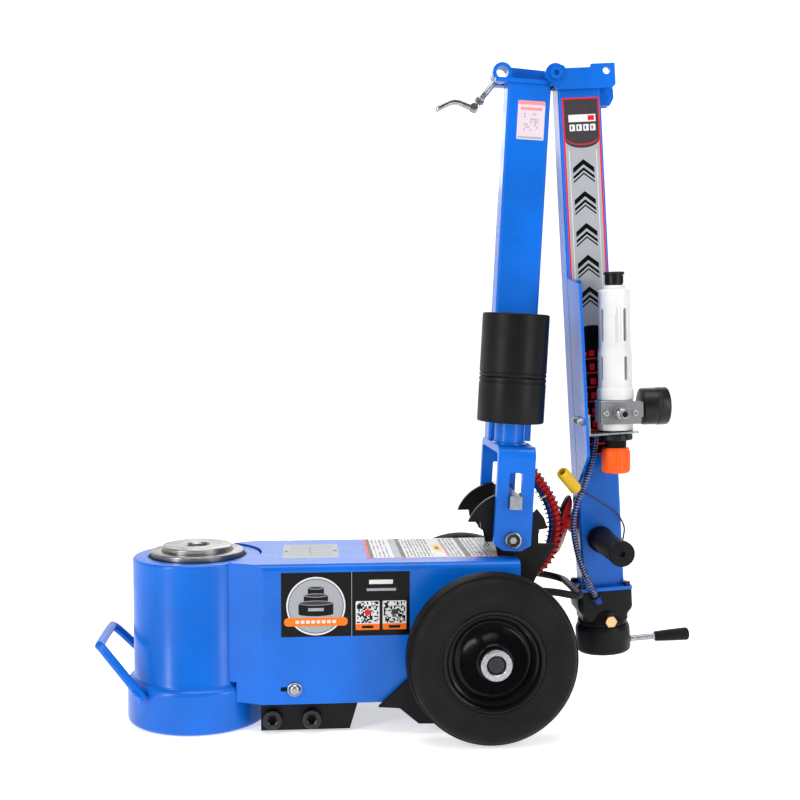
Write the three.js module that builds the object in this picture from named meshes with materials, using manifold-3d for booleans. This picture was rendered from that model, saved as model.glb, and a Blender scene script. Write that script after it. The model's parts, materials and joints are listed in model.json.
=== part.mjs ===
// Two-stage air-hydraulic truck jack on wheels, with a folding handle, in its folded parking position.
// Millimetres, +Z up. The origin is the middle of the foot's bottom face, under the ram's axis.
// +X runs from the ram to the wheels and the handle, and -Y is the side with the air unit.
import * as THREE from "three";
import { mergeVertices } from "three/addons/utils/BufferGeometryUtils.js";
import Module from "manifold-3d";

const wasm = await Module();
wasm.setup();

// ---------- driving dimensions ----------
const GAP = 0.3; // between pieces that touch

const FOOT_R = 95; // foot flange of the hydraulic cylinder
const FOOT_H = 62;
const BARREL_R = 86;
const BARREL_TOP = 221;
const RAM1_R = 62.5; // outer ram, first stage
const RAM1_TOP = 228;
const RAM2_R = 47; // inner ram, second stage
const RAM2_TOP = 235;
const RAM_CLEARANCE = 0.5;
const BORE_BOTTOM = 24;
const WIPER_R = 65.5;
const WIPER_H = 8;

const COVER_FRONT = 45;
const COVER_REAR = 427;
const COVER_HALF = 95;
const COVER_NOSE_HALF = 73.5;
const COVER_SHOULDER = 91; // where the nose reaches the full width
const COVER_BOTTOM = 40;
const COVER_TOP = 223;
const COVER_SHEET = 3;
const COVER_EDGE_R = 9;

const BAR_OUT = 85; // side bars under the cover
const BAR_SCREWS_X = [102, 153];
const BAR_SCREW_Z = 19;
const COVER_BOLT_X = 131;
const COVER_BOLT_Z = 60;

const AXLE_X = 381;
const WHEEL_R = 110;
const AXLE_R = 11;
const TYRE_IN = 120; // inner and outer faces of a wheel, from the middle
const TYRE_OUT = 176;
const RIM_R = 66;

const PIVOT_X = 420; // tilt pivot of the handle
const PIVOT_Z = 247.5;
const PLATE_IN = 50; // quadrant plates
const PLATE_OUT = 58;
const PIN_R = 8;

const LOWER_LEAN = THREE.MathUtils.degToRad(3);
const UPPER_LEAN = THREE.MathUtils.degToRad(-3.4);
const FORK_IN = 64;
const FORK_OUT = 74;
const FORK_HALF = 25;
const WEB_TOP = 124;
const LATCH_LOW = 41.5;
const TUBE_NEAR = 18; // both handle tubes lie between these two planes
const TUBE_FAR = 58;
const TUBE_WALL = 3;
const TUBE_WIDE = 60;
const LOWER_TUBE_X = -25;
const LOWER_TUBE_TOP = 617;
const HINGE_X = 38; // fold hinge, in the lower handle's frame
const HINGE_Z = 632;
const LUG_X = -33; // swing bolt's hollow pivot, at the hinge's height
const BOLT_Y = 38;
const UPPER_TUBE_U = 4;
const UPPER_TUBE_TOP = -16;
const UPPER_TUBE_LOW = -716;
const LEVER_W = -799; // height of the control lever, below the fold hinge

const POST_Y = -38;
const POST_X = -6;
const POST_R = 20;
const ADAPTER_R = 45;
const ADAPTER_LOW = 154;
const ADAPTER_MID = 215;
const ADAPTER_TOP = 300;

const CONTROL_U = 33; // axis of the control head at the end of the upper tube
const AIR_U = 51.5; // axis of the air unit, where it crosses its shelf
const AIR_Y = -21;
const AIR_W = -493.5; // height of the shelf that carries the air unit
const SHELF_BOLT_W = 17; // its two bolts, above the shelf
const AIR_LEAN = 2.2; // the unit leans this far off the tube, in degrees

// ---------- materials ----------
const paint = (color, roughness, metalness) =>
  new THREE.MeshStandardMaterial({ color, roughness, metalness });
const BLUE = paint(0x0a5bd0, 0.35, 0.1);
const BLACK = paint(0x141416, 0.5, 0.2);
const STEEL = paint(0xb9bcc0, 0.3, 0.9);
const CHROME = paint(0xd6d8db, 0.12, 1);
const RUBBER = paint(0x101012, 0.75, 0);
const WHITE = paint(0xe6e6e3, 0.45, 0);
const ORANGE = paint(0xff5a00, 0.45, 0);
const GREY = paint(0x7d7d7d, 0.5, 0.6);
const BRASS = paint(0xc99a6a, 0.35, 0.9);
const YELLOW = paint(0xe6b80f, 0.45, 0);
const RED = paint(0xc0190c, 0.5, 0);

// ---------- helpers ----------
// A closed three.js geometry as a solid, and back.
function solid(geometry) {
  const bare = new THREE.BufferGeometry();
  const flat = geometry.index ? geometry.toNonIndexed() : geometry;
  bare.setAttribute("position", flat.getAttribute("position"));
  const merged = mergeVertices(bare, 1e-3);
  const mesh = new wasm.Mesh({
    numProp: 3,
    vertProperties: merged.attributes.position.array,
    triVerts: new Uint32Array(merged.index.array),
  });
  return new wasm.Manifold(mesh);
}

function geometryOf(manifold) {
  const mesh = manifold.getMesh();
  const geometry = new THREE.BufferGeometry();
  geometry.setAttribute("position", new THREE.BufferAttribute(mesh.vertProperties, 3));
  geometry.setIndex(new THREE.BufferAttribute(mesh.triVerts, 1));
  return geometry;
}

const join = (...pieces) => pieces.reduce((a, b) => a.add(b));
const cut = (body, ...tools) => tools.reduce((a, b) => a.subtract(b), body);

function part(name, manifold, material) {
  const mesh = new THREE.Mesh(geometryOf(manifold), material);
  mesh.name = name;
  return mesh;
}

function box(x0, x1, y0, y1, z0, z1) {
  const geometry = new THREE.BoxGeometry(x1 - x0, y1 - y0, z1 - z0);
  geometry.translate((x0 + x1) / 2, (y0 + y1) / 2, (z0 + z1) / 2);
  return solid(geometry);
}

// Round bars along each axis, from a to b, with the centre in the other two coordinates.
function barY(radius, x, z, a, b, sides = 16) {
  const geometry = new THREE.CylinderGeometry(radius, radius, b - a, sides);
  return solid(geometry.translate(x, (a + b) / 2, z));
}
function barZ(radius, x, y, a, b, sides = 16) {
  const geometry = new THREE.CylinderGeometry(radius, radius, b - a, sides);
  return solid(geometry.rotateX(Math.PI / 2).translate(x, y, (a + b) / 2));
}
function barX(radius, y, z, a, b, sides = 16) {
  const geometry = new THREE.CylinderGeometry(radius, radius, b - a, sides);
  return solid(geometry.rotateZ(Math.PI / 2).translate((a + b) / 2, y, z));
}

const outline = (points) => new THREE.Shape(points.map(([x, y]) => new THREE.Vector2(x, y)));

// An outline of [x, z] points between two values of y.
function plateY(shape, y0, y1, curveSegments = 10) {
  const options = { depth: y1 - y0, bevelEnabled: false, curveSegments };
  const geometry = new THREE.ExtrudeGeometry(shape, options);
  return solid(geometry.rotateX(Math.PI / 2).translate(0, y1, 0));
}

// An outline of [x, y] points between two heights.
function plateZ(shape, z0, z1, curveSegments = 10) {
  const options = { depth: z1 - z0, bevelEnabled: false, curveSegments };
  return solid(new THREE.ExtrudeGeometry(shape, options).translate(0, 0, z0));
}

// An outline of [y, z] points between two values of x.
function plateX(shape, x0, x1, curveSegments = 6) {
  const options = { depth: x1 - x0, bevelEnabled: false, curveSegments };
  const geometry = new THREE.ExtrudeGeometry(shape, options);
  return solid(geometry.rotateX(Math.PI / 2).rotateZ(Math.PI / 2).translate(x0, 0, 0));
}

// A profile of [radius, height] points, counter-clockwise with the axis on its left, turned about Z.
function turned(profile, sides = 24) {
  const points = profile.map(([r, z]) => new THREE.Vector2(r, z));
  return solid(new THREE.LatheGeometry(points, sides).rotateX(Math.PI / 2));
}

// The same about Y: heights run from y = 0 towards the outside of the given side.
function turnedY(profile, side, sides = 24) {
  const made = turned(profile, sides);
  return made.rotate([side > 0 ? -90 : 90, 0, 0]);
}

function roundedRect(x0, x1, y0, y1, r) {
  const s = new THREE.Shape();
  s.moveTo(x0 + r, y0);
  s.lineTo(x1 - r, y0);
  s.absarc(x1 - r, y0 + r, r, -Math.PI / 2, 0);
  s.lineTo(x1, y1 - r);
  s.absarc(x1 - r, y1 - r, r, 0, Math.PI / 2);
  s.lineTo(x0 + r, y1);
  s.absarc(x0 + r, y1 - r, r, Math.PI / 2, Math.PI);
  s.lineTo(x0, y0 + r);
  s.absarc(x0 + r, y0 + r, r, Math.PI, Math.PI * 1.5);
  return s;
}

// A round rod along a smooth curve through the points.
function rod(points, radius, sides = 8, steps = 30) {
  const path = new THREE.CatmullRomCurve3(points.map((p) => new THREE.Vector3(...p)), false, "centripetal");
  const circle = new THREE.Shape();
  circle.absarc(0, 0, radius, 0, Math.PI * 2);
  const options = { steps, extrudePath: path, bevelEnabled: false, curveSegments: sides / 2 };
  return solid(new THREE.ExtrudeGeometry(circle, options));
}

const mirrored = (points) => [...points, ...points.map(([x, y, z]) => [x, -y, z]).reverse()];

const base = new THREE.Group();
const lowerHandle = new THREE.Group();
const upperHandle = new THREE.Group();

// ---------- hydraulic cylinder and rams ----------
function baseCylinder() {
  const r = 9; // rounded edges of the foot
  const bore = RAM1_R + RAM_CLEARANCE;
  const body = turned([
    [0, 0],
    [FOOT_R - 5, 0],
    [FOOT_R, 5],
    [FOOT_R, FOOT_H - r],
    [FOOT_R - 3, FOOT_H - 2.5],
    [BARREL_R + 2, FOOT_H],
    [BARREL_R, FOOT_H + 3],
    [BARREL_R, BARREL_TOP - 3],
    [BARREL_R - 3, BARREL_TOP],
    [WIPER_R + GAP, BARREL_TOP],
    [WIPER_R + GAP, BARREL_TOP - WIPER_H],
    [bore, BARREL_TOP - WIPER_H],
    [bore, BORE_BOTTOM],
    [0, BORE_BOTTOM],
  ], 36);
  return part("base_cylinder", body, BLUE);
}

function wiperRing() {
  const low = BARREL_TOP - WIPER_H + GAP;
  const ring = turned([
    [RAM1_R + RAM_CLEARANCE, low],
    [WIPER_R, low],
    [WIPER_R, BARREL_TOP + 1],
    [RAM1_R + 2, BARREL_TOP + 1],
    [RAM1_R + RAM_CLEARANCE, BARREL_TOP - 1],
    [RAM1_R + RAM_CLEARANCE, low],
  ], 32);
  return part("ram_wiper_ring", ring, RUBBER);
}

function outerRam() {
  const floor = BORE_BOTTOM + 16;
  const ram = turned([
    [0, BORE_BOTTOM + GAP],
    [RAM1_R, BORE_BOTTOM + GAP],
    [RAM1_R, RAM1_TOP - 3],
    [RAM1_R - 3, RAM1_TOP],
    [RAM2_R + RAM_CLEARANCE, RAM1_TOP],
    [RAM2_R + RAM_CLEARANCE, floor],
    [0, floor],
  ], 36);
  return part("ram_outer", ram, STEEL);
}

function innerRam() {
  const low = BORE_BOTTOM + 16 + GAP;
  const ram = turned([
    [0, low],
    [RAM2_R, low],
    [RAM2_R, RAM2_TOP - 2],
    [RAM2_R - 2, RAM2_TOP],
    [17, RAM2_TOP],
    [15, RAM2_TOP - 2],
    [15, RAM2_TOP - 40],
    [0, RAM2_TOP - 40],
  ], 32);
  return part("ram_inner", ram, STEEL);
}

function frontLoop() {
  const half = mirrored([
    [-66, -79, 48],
    [-92, -69, 78],
    [-115, -60, 104],
    [-122, -54, 111],
    [-124, -45, 112],
  ]);
  return part("front_loop", rod(half, 6, 8, 30), BLUE);
}

// ---------- body ----------
function coverBody(inset, low) {
  const half = COVER_HALF - inset;
  const nose = COVER_NOSE_HALF - inset * 0.6;
  const front = COVER_FRONT + inset;
  const shoulder = COVER_SHOULDER + inset * 0.4;
  const rear = COVER_REAR + (inset ? 5 : 0);
  const plan = outline([
    [front, -nose], [shoulder, -half], [rear, -half], [rear, half], [shoulder, half], [front, nose],
  ]);
  const r = COVER_EDGE_R - inset;
  const top = COVER_TOP - inset;
  const section = new THREE.Shape();
  section.moveTo(-half, low);
  section.lineTo(half, low);
  section.lineTo(half, top - r);
  section.absarc(half - r, top - r, r, 0, Math.PI / 2);
  section.lineTo(-half + r, top);
  section.absarc(-half + r, top - r, r, Math.PI / 2, Math.PI);
  return plateZ(plan, low, top + 5).intersect(plateX(section, front - 5, rear + 5));
}

function bodyCover() {
  const shell = cut(
    coverBody(0, COVER_BOTTOM),
    coverBody(COVER_SHEET, COVER_BOTTOM - 5),
    barZ(BARREL_R + 1, 0, 0, COVER_BOTTOM - 5, COVER_TOP + 5, 40),
    barZ(FOOT_R + 1, 0, 0, COVER_BOTTOM - 5, FOOT_H + 4, 40),
  );
  const openings = [];
  for (const side of [-1, 1]) {
    const [a, b] = side < 0 ? [-COVER_HALF - 5, -COVER_HALF + 8] : [COVER_HALF - 8, COVER_HALF + 5];
    const [c, d] = side < 0 ? [-PLATE_OUT - 1, -PLATE_IN + 1] : [PLATE_IN - 1, PLATE_OUT + 1];
    openings.push(barY(AXLE_R + 1, AXLE_X, WHEEL_R, a, b, 24));
    openings.push(barY(4.6, COVER_BOLT_X, COVER_BOLT_Z, a, b, 16));
    openings.push(box(COVER_BOLT_X - 18, COVER_BOLT_X, a, b, COVER_BOLT_Z - 3, COVER_BOLT_Z + 3));
    openings.push(box(395, COVER_REAR + 10, c, d, COVER_TOP - 20, COVER_TOP + 5));
  }
  return part("body_cover", cut(shell, ...openings), BLUE);
}

function pumpBlock() {
  const block = box(112, 232, -62, 62, 42, 168);
  const bore = barX(16, 0, 100, 200, 240, 24);
  const filler = barZ(14, 210, 30, 160, 178, 20);
  return part("pump_block", cut(block.add(filler), bore), GREY);
}

function airMotor() {
  const motor = join(
    barX(42, 0, 112, 240, 336),
    barX(15.6, 0, 100, 205, 241, 24),
    barX(22, 0, 112, 335, 350, 24),
  );
  return part("air_motor", motor, GREY);
}

function sideBar(name, side) {
  const profile = outline([[87, 3], [203, 3], [214, 39.5], [87, 39.5]]);
  const [a, b] = side < 0 ? [-BAR_OUT, -60] : [60, BAR_OUT];
  const holes = BAR_SCREWS_X.map((x) => barY(8.3, x, BAR_SCREW_Z, a - 5, b + 5, 16));
  const foot = barZ(FOOT_R + 1, 0, 0, -5, COVER_BOTTOM + 5, 40);
  return part(name, cut(plateY(profile, a, b), ...holes, foot), BLACK);
}

function barScrew(name, x, side) {
  const screw = join(
    turnedY([[0, 60], [8, 60], [8, BAR_OUT + GAP], [12.5, BAR_OUT + GAP], [12.5, BAR_OUT + 10],
      [11.5, BAR_OUT + 11], [7, BAR_OUT + 11], [7, BAR_OUT + 5], [0, BAR_OUT + 5]], side, 12),
  );
  return part(name, screw.translate([x, 0, BAR_SCREW_Z]), BLACK);
}

function coverBolt(name, side) {
  const out = COVER_HALF + GAP;
  const profile = [
    [0, 76], [4, 76], [4, out], [9, out], [9, out + 2], [7, out + 6], [3, out + 8], [0, out + 8],
  ];
  const bolt = turnedY(profile, side, 16);
  return part(name, bolt.translate([COVER_BOLT_X, 0, COVER_BOLT_Z]), CHROME);
}

// ---------- rear structure ----------
function axlePlate(name, side) {
  const profile = outline([
    [240, 36], [277, 71], [345, 128], [372, 138], [392, 138], [408, 124], [408, 96], [352, 30],
    [336, 12], [292, 13], [267, 34],
  ]);
  const [a, b] = side < 0 ? [-104, -96] : [96, 104];
  const plate = cut(plateY(profile, a, b), barY(AXLE_R + GAP, AXLE_X, WHEEL_R, a - 5, b + 5, 24));
  return part(name, plate, BLACK);
}

function axle() {
  return part("axle", barY(AXLE_R, AXLE_X, WHEEL_R, -183, 183, 24), STEEL);
}

// A point at an angle from straight up, towards +X, around the tilt pivot.
function polar(radius, degrees) {
  const a = THREE.MathUtils.degToRad(degrees);
  return [PIVOT_X + radius * Math.sin(a), PIVOT_Z + radius * Math.cos(a)];
}

function quadrantPlate(name, side) {
  const rim = 40.3; // the latch bar slides over it
  const hookRim = 61;
  const points = [];
  for (let a = -68; a <= -55; a += 6.5) points.push(polar(hookRim, a));
  for (let a = -54.9; a <= 44; a += 6.5) points.push(polar(rim, a));
  points.push(polar(52.5, 44), polar(52.5, 52), polar(52.5, 60));
  const local = [
    [50.5, 12], [38, 10], [38, -8.5], [62, -10], [36, -52], [22, -84], [16, -130], [-14, -130],
    [-16, -30], [-20, -9], [-40, 13], [-41, 22],
  ];
  for (const [x, z] of local) points.push([PIVOT_X + x, PIVOT_Z + z]);
  const [a, b] = side < 0 ? [-PLATE_OUT, -PLATE_IN] : [PLATE_IN, PLATE_OUT];
  const hole = barY(PIN_R + GAP, PIVOT_X, PIVOT_Z, a - 5, b + 5, 24);
  return part(name, cut(plateY(outline(points), a, b), hole), BLACK);
}

function pivotPin() {
  const head = FORK_OUT + GAP;
  let pin = barY(PIN_R, 0, 0, -head - 1, head + 1, 24);
  for (const side of [-1, 1]) {
    const cap = turnedY([
      [0, head], [10.8, head], [10.8, head + 6], [9.8, head + 7], [6.5, head + 7], [6.5, head + 2],
      [0, head + 2],
    ], side, 14);
    pin = pin.add(cap);
  }
  return part("pivot_pin", pin.translate([PIVOT_X, 0, PIVOT_Z]), BLACK);
}

function restLoop() {
  const half = mirrored([
    [442, -PLATE_OUT - 6, 178],
    [480, -PLATE_OUT - 6, 174],
    [505, -PLATE_OUT - 5, 169],
    [515, -PLATE_OUT + 4, 167],
    [517, -40, 167],
  ]);
  return part("rest_loop", rod(half, 5, 8, 26), BLACK);
}

// ---------- wheels ----------
function wheel(prefix, side) {
  const w = TYRE_OUT - TYRE_IN;
  const tyre = turnedY([
    [RIM_R, TYRE_IN + 5], [WHEEL_R - 18, TYRE_IN], [WHEEL_R - 4, TYRE_IN + 8], [WHEEL_R, TYRE_IN + 20],
    [WHEEL_R, TYRE_OUT - 20], [WHEEL_R - 4, TYRE_OUT - 8], [WHEEL_R - 18, TYRE_OUT], [RIM_R, TYRE_OUT - 5],
    [RIM_R, TYRE_IN + 5],
  ], side, 36);
  const bore = AXLE_R + RAM_CLEARANCE;
  const rim = turnedY([
    [bore, TYRE_IN + 2], [24, TYRE_IN + 2], [24, TYRE_IN + 22], [52, TYRE_IN + 22], [56, TYRE_IN + 8],
    [RIM_R - GAP, TYRE_IN + 8], [RIM_R - GAP, TYRE_OUT - 7], [60, TYRE_OUT - 7], [56, TYRE_OUT - 12],
    [52, TYRE_OUT - 24], [44, TYRE_OUT - 26], [26, TYRE_OUT - 14], [24, TYRE_OUT - 2], [bore, TYRE_OUT - 2],
    [bore, TYRE_IN + 2],
  ], side, 24);
  const collar = turnedY([
    [AXLE_R + GAP, TYRE_OUT], [20, TYRE_OUT], [20, TYRE_OUT + 8], [18, TYRE_OUT + 10],
    [12.5, TYRE_OUT + 10], [AXLE_R + GAP, TYRE_OUT + 6], [AXLE_R + GAP, TYRE_OUT],
  ], side, 16);
  const place = [AXLE_X, 0, WHEEL_R];
  return [
    part(prefix + "_tyre", tyre.translate(place), RUBBER),
    part(prefix + "_rim", rim.translate(place), BLACK),
    part(prefix + "_axle_collar", collar.translate(place), STEEL),
  ];
}

// ---------- lower handle, in its own frame: origin at the tilt pivot, z along the handle ----------
function fork() {
  const r = 14;
  const section = new THREE.Shape(); // in y and z
  section.moveTo(-FORK_OUT, -18);
  section.lineTo(-FORK_IN, -18);
  section.lineTo(-FORK_IN, WEB_TOP - 14);
  section.lineTo(-FORK_IN + 4, WEB_TOP - 10);
  section.lineTo(FORK_IN - 4, WEB_TOP - 10);
  section.lineTo(FORK_IN, WEB_TOP - 14);
  section.lineTo(FORK_IN, -18);
  section.lineTo(FORK_OUT, -18);
  section.lineTo(FORK_OUT, WEB_TOP - r);
  section.absarc(FORK_OUT - r, WEB_TOP - r, r, 0, Math.PI / 2);
  section.lineTo(-FORK_OUT + r, WEB_TOP);
  section.absarc(-FORK_OUT + r, WEB_TOP - r, r, Math.PI / 2, Math.PI);
  const bent = plateX(section, -FORK_HALF, FORK_HALF, 4);
  const h = FORK_HALF;
  const side = outline([[-h, -7], [-12, -15], [12, -15], [h, -7], [h, WEB_TOP + 5], [-h, WEB_TOP + 5]]);
  const slots = plateY(roundedRect(-8.8, 8.8, 40.5, 89, 2), -FORK_OUT - 5, FORK_OUT + 5, 3);
  const pinHole = barY(PIN_R + GAP, 0, 0, -FORK_OUT - 5, FORK_OUT + 5, 24);
  const hoseHole = barZ(13, 5, (TUBE_NEAR + TUBE_FAR) / 2, WEB_TOP - 20, WEB_TOP + 5, 20);
  const shaped = bent.intersect(plateY(side, -FORK_OUT - 5, FORK_OUT + 5));
  return part("fork", cut(shaped, slots, pinHole, hoseHole), BLUE);
}

function latchBar() {
  const half = 8.2;
  const profile = outline([[-half, 0], [half, 0], [half, 17.6], [-half, 17.6]]);
  return part("latch_bar", plateY(profile, -84, 84).translate([0, 0, LATCH_LOW]), STEEL);
}

function tube(x0, z0, z1) {
  const outer = roundedRect(x0, x0 + TUBE_WIDE, TUBE_NEAR, TUBE_FAR, 4);
  const t = TUBE_WALL;
  const inner = roundedRect(x0 + t, x0 + TUBE_WIDE - t, TUBE_NEAR + t, TUBE_FAR - t, 1.5);
  return cut(plateZ(outer, z0, z1, 3), plateZ(inner, z0 - 5, z1 + 5, 2));
}

function lowerTube() {
  return part("lower_tube", tube(LOWER_TUBE_X, WEB_TOP + GAP, LOWER_TUBE_TOP), BLUE);
}

function adapterPost() {
  const low = WEB_TOP + GAP;
  const post = turned([
    [0, low], [POST_R + 4, low], [POST_R, low + 4], [POST_R, 172], [16, 172], [16, 284], [14, 288], [0, 288],
  ], 24);
  return part("adapter_post", post.translate([POST_X, POST_Y, 0]), BLUE);
}

function adapterLower() {
  const top = ADAPTER_MID - GAP;
  const ring = turned([
    [POST_R + 0.5, ADAPTER_LOW], [ADAPTER_R - 3, ADAPTER_LOW], [ADAPTER_R, ADAPTER_LOW + 3],
    [ADAPTER_R, top - 2], [ADAPTER_R - 2, top], [16.5, top], [16.5, 172 + GAP], [POST_R + 0.5, 172 + GAP],
    [POST_R + 0.5, ADAPTER_LOW],
  ]);
  return part("adapter_lower", ring.translate([POST_X, POST_Y, 0]), BLACK);
}

function adapterUpper() {
  const ring = turned([
    [0, 289], [16.5, 289], [16.5, ADAPTER_MID], [ADAPTER_R - 2, ADAPTER_MID], [ADAPTER_R, ADAPTER_MID + 2],
    [ADAPTER_R, ADAPTER_TOP - 3], [ADAPTER_R - 3, ADAPTER_TOP], [0, ADAPTER_TOP],
  ]);
  return part("adapter_upper", ring.translate([POST_X, POST_Y, 0]), BLACK);
}

function lowerHingeBracket() {
  const plateLow = LOWER_TUBE_TOP + GAP;
  const plateTop = plateLow + 6;
  const plate = box(LUG_X - 10, HINGE_X - 2, TUBE_NEAR - 1.5, TUBE_FAR + 4, plateLow, plateTop);
  const side = outline([
    [-22, plateLow], [HINGE_X, plateLow], [HINGE_X, HINGE_Z + 12], [-22, HINGE_Z + 14],
  ]);
  const flange = join(
    plateY(side, 56, 62),
    barY(14, HINGE_X, HINGE_Z, 56, 62),
  );
  const knuckle = barY(10, HINGE_X, HINGE_Z, TUBE_NEAR - 1.5, 49.5);
  const lugs = [[25, 31], [45, 51]].map(([a, b]) =>
    barY(13.6, LUG_X, HINGE_Z, a, b, 16).add(box(LUG_X - 9, LUG_X + 14, a, b, plateLow, HINGE_Z - 4)),
  );
  const bush = barY(10.2, LUG_X, HINGE_Z, 25, 51, 16);
  const eyeRoom = barY(14.2, LUG_X, HINGE_Z, 31, 45, 16).subtract(barY(10.2, LUG_X, HINGE_Z, 30, 46, 16));
  const bracket = cut(
    join(plate, flange, knuckle, ...lugs, bush),
    box(LUG_X - 20, LUG_X + 6, 31, 45, plateLow - 5, plateTop + 1),
    box(HINGE_X - 14, HINGE_X, 49.7, 55.2, plateLow - 1, plateTop + 1),
    eyeRoom,
    barY(8.4, LUG_X, HINGE_Z, 10, 70, 16),
    barY(6.3, HINGE_X, HINGE_Z, 0, 80, 24),
  );
  return part("lower_hinge_bracket", bracket, BLUE);
}

function hingePin() {
  const pin = join(
    barY(6, HINGE_X, HINGE_Z, 5, 68, 24),
    barY(8.5, HINGE_X, HINGE_Z, 4, 9.6, 24),
    barY(8.5, HINGE_X, HINGE_Z, 62.4, 69, 6),
  );
  const socket = barY(4.2, HINGE_X, HINGE_Z, 2, 7.5, 6);
  return part("hinge_pin", pin.subtract(socket), BLUE);
}

// Built pointing along -x from its eye, then turned to its hanging angle.
const BOLT_ANGLE = 54.6; // below the handle's own -x direction
const CAM_REACH = 60;
function atSwingBolt(manifold) {
  return manifold.rotate([0, -BOLT_ANGLE, 0]).translate([LUG_X, 0, HINGE_Z]);
}

function swingBolt() {
  const eye = barY(13.6, 0, 0, 31.5, 44.5, 16).subtract(barY(10.7, 0, 0, 30, 46, 16));
  const shank = barX(4, BOLT_Y, 0, -52, -11, 16);
  const washer = barX(6.5, BOLT_Y, 0, -49.5, -46.5, 20);
  const tongue = join(box(-CAM_REACH, -50, 36, 40, -4, 4), barY(5, -CAM_REACH, 0, 36, 40, 20));
  const bolt = join(eye, shank, washer, tongue).subtract(barY(2.4, -CAM_REACH, 0, 34, 42, 12));
  return part("swing_bolt", atSwingBolt(bolt), STEEL);
}

function camLever() {
  const cheeks = join(
    barY(6.5, -CAM_REACH, 0, 31.5, 35.7, 24),
    barY(6.5, -CAM_REACH, 0, 40.3, 44.5, 24),
    barY(2, -CAM_REACH, 0, 31.5, 44.5, 12),
  );
  const arm = outline([ // lies level when the bolt hangs at its angle
    [-5.6, -4], [-18, -2], [-28, 0.5], [-38, -3.5], [-48, -9.5], [-52, -9.5], [-55, -6], [-52, -0.5],
    [-44, 5], [-36, 9.5], [-27, 11.5], [-16, 8.5], [-5.6, 5],
  ]);
  const bar = plateY(arm, 33, 43).rotate([0, BOLT_ANGLE, 0]).translate([-CAM_REACH, 0, 0]);
  const neck = box(-9, -5.2, 31.5, 44.5, -3.5, 4).rotate([0, BOLT_ANGLE, 0]).translate([-CAM_REACH, 0, 0]);
  return part("cam_lever", atSwingBolt(join(cheeks, neck, bar)), CHROME);
}

// ---------- upper handle, in its own frame ----------
// Its origin is on the fold hinge and w runs along the tube, which hangs down.
function upperHingeBracket() {
  const flange = new THREE.Shape();
  flange.moveTo(2, -22);
  flange.lineTo(79, -22);
  flange.lineTo(83, -18);
  flange.lineTo(83, 11);
  flange.lineTo(50, 11);
  flange.lineTo(48, 6.5);
  flange.lineTo(14, 6.5);
  flange.lineTo(12, 10);
  flange.absarc(0, 0, 14, Math.PI * 0.3, Math.PI);
  flange.lineTo(-14, -4);
  flange.lineTo(2, -22);
  const web = box(1, 66, TUBE_NEAR - 3, 54.5, UPPER_TUBE_TOP + GAP, UPPER_TUBE_TOP + 2.9);
  const ear = join(barY(12, 0, 0, 50, 54.5, 28), box(0, 26, 50, 54.5, UPPER_TUBE_TOP + 1, 0));
  const catches = [[28, 33], [43, 48]].map(([a, b]) =>
    plateY(outline([[64.4, -44], [78, -44], [84, -34], [84, -22], [80, -14.2], [64.4, -14.2]]), a, b),
  );
  const bracket = cut(
    join(plateY(flange, 10, TUBE_NEAR - 2, 12), web, ear, ...catches),
    barY(6.3, 0, 0, 0, 80, 24),
    barY(5, 71, 1, 0, 20, 20),
  );
  return part("upper_hinge_bracket", bracket, BLUE);
}

function upperTube() {
  const body = tube(UPPER_TUBE_U, UPPER_TUBE_LOW, UPPER_TUBE_TOP);
  const low = UPPER_TUBE_LOW;
  const plan = roundedRect(CONTROL_U - 39, CONTROL_U + 39, TUBE_NEAR - 14, TUBE_FAR + 6, 4);
  const flange = plateZ(plan, low - 5, low, 3);
  const bore = plateZ(roundedRect(10, 58, TUBE_NEAR + 5, TUBE_FAR - 5, 3), low - 10, low + 5, 3);
  return part("upper_tube", cut(body.add(flange), bore), BLUE);
}

function airUnitBracket() {
  const near = AIR_Y - 27;
  const far = TUBE_NEAR - GAP;
  const stand = plateX(outline([[near, -524], [far, -568], [far, -280], [near, -292]]), 3.8, 7.8);
  const foot = box(3.8, 22, TUBE_NEAR - 4, TUBE_NEAR - GAP, -563, -284);
  const holes = [-5, -37].map((y) => barX(3.3, y, AIR_W + SHELF_BOLT_W, 0, 12, 16));
  return part("air_unit_bracket", cut(join(stand, foot), ...holes), BLUE);
}

function shelf() {
  const leg = box(8.1, 10.6, AIR_Y - 26, AIR_Y + 26, AIR_W, AIR_W + 27);
  const table = plateZ(roundedRect(8.1, AIR_U + 27, AIR_Y - 26, AIR_Y + 26, 8), AIR_W - 2.5, AIR_W, 4)
    .add(box(8.1, 30, AIR_Y - 26, AIR_Y + 26, AIR_W - 2.5, AIR_W));
  let made = cut(leg.add(table), barZ(15, AIR_U, AIR_Y, AIR_W - 10, AIR_W + 5, 28));
  for (const y of [-5, -37]) {
    const w = AIR_W + SHELF_BOLT_W;
    made = join(made, barX(3, y, w, 0.5, 9, 10), barX(5.5, y, w, -2, 3.4, 10), barX(3.5, y, w, -4.5, 0, 10));
  }
  return part("air_unit_shelf", made, STEEL);
}

// The pieces of the air unit stand on one vertical axis, so each is turned about Z at that axis.
const onAirAxis = (manifold) => manifold.rotate([0, AIR_LEAN, 0]).translate([AIR_U, AIR_Y, AIR_W]);

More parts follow.
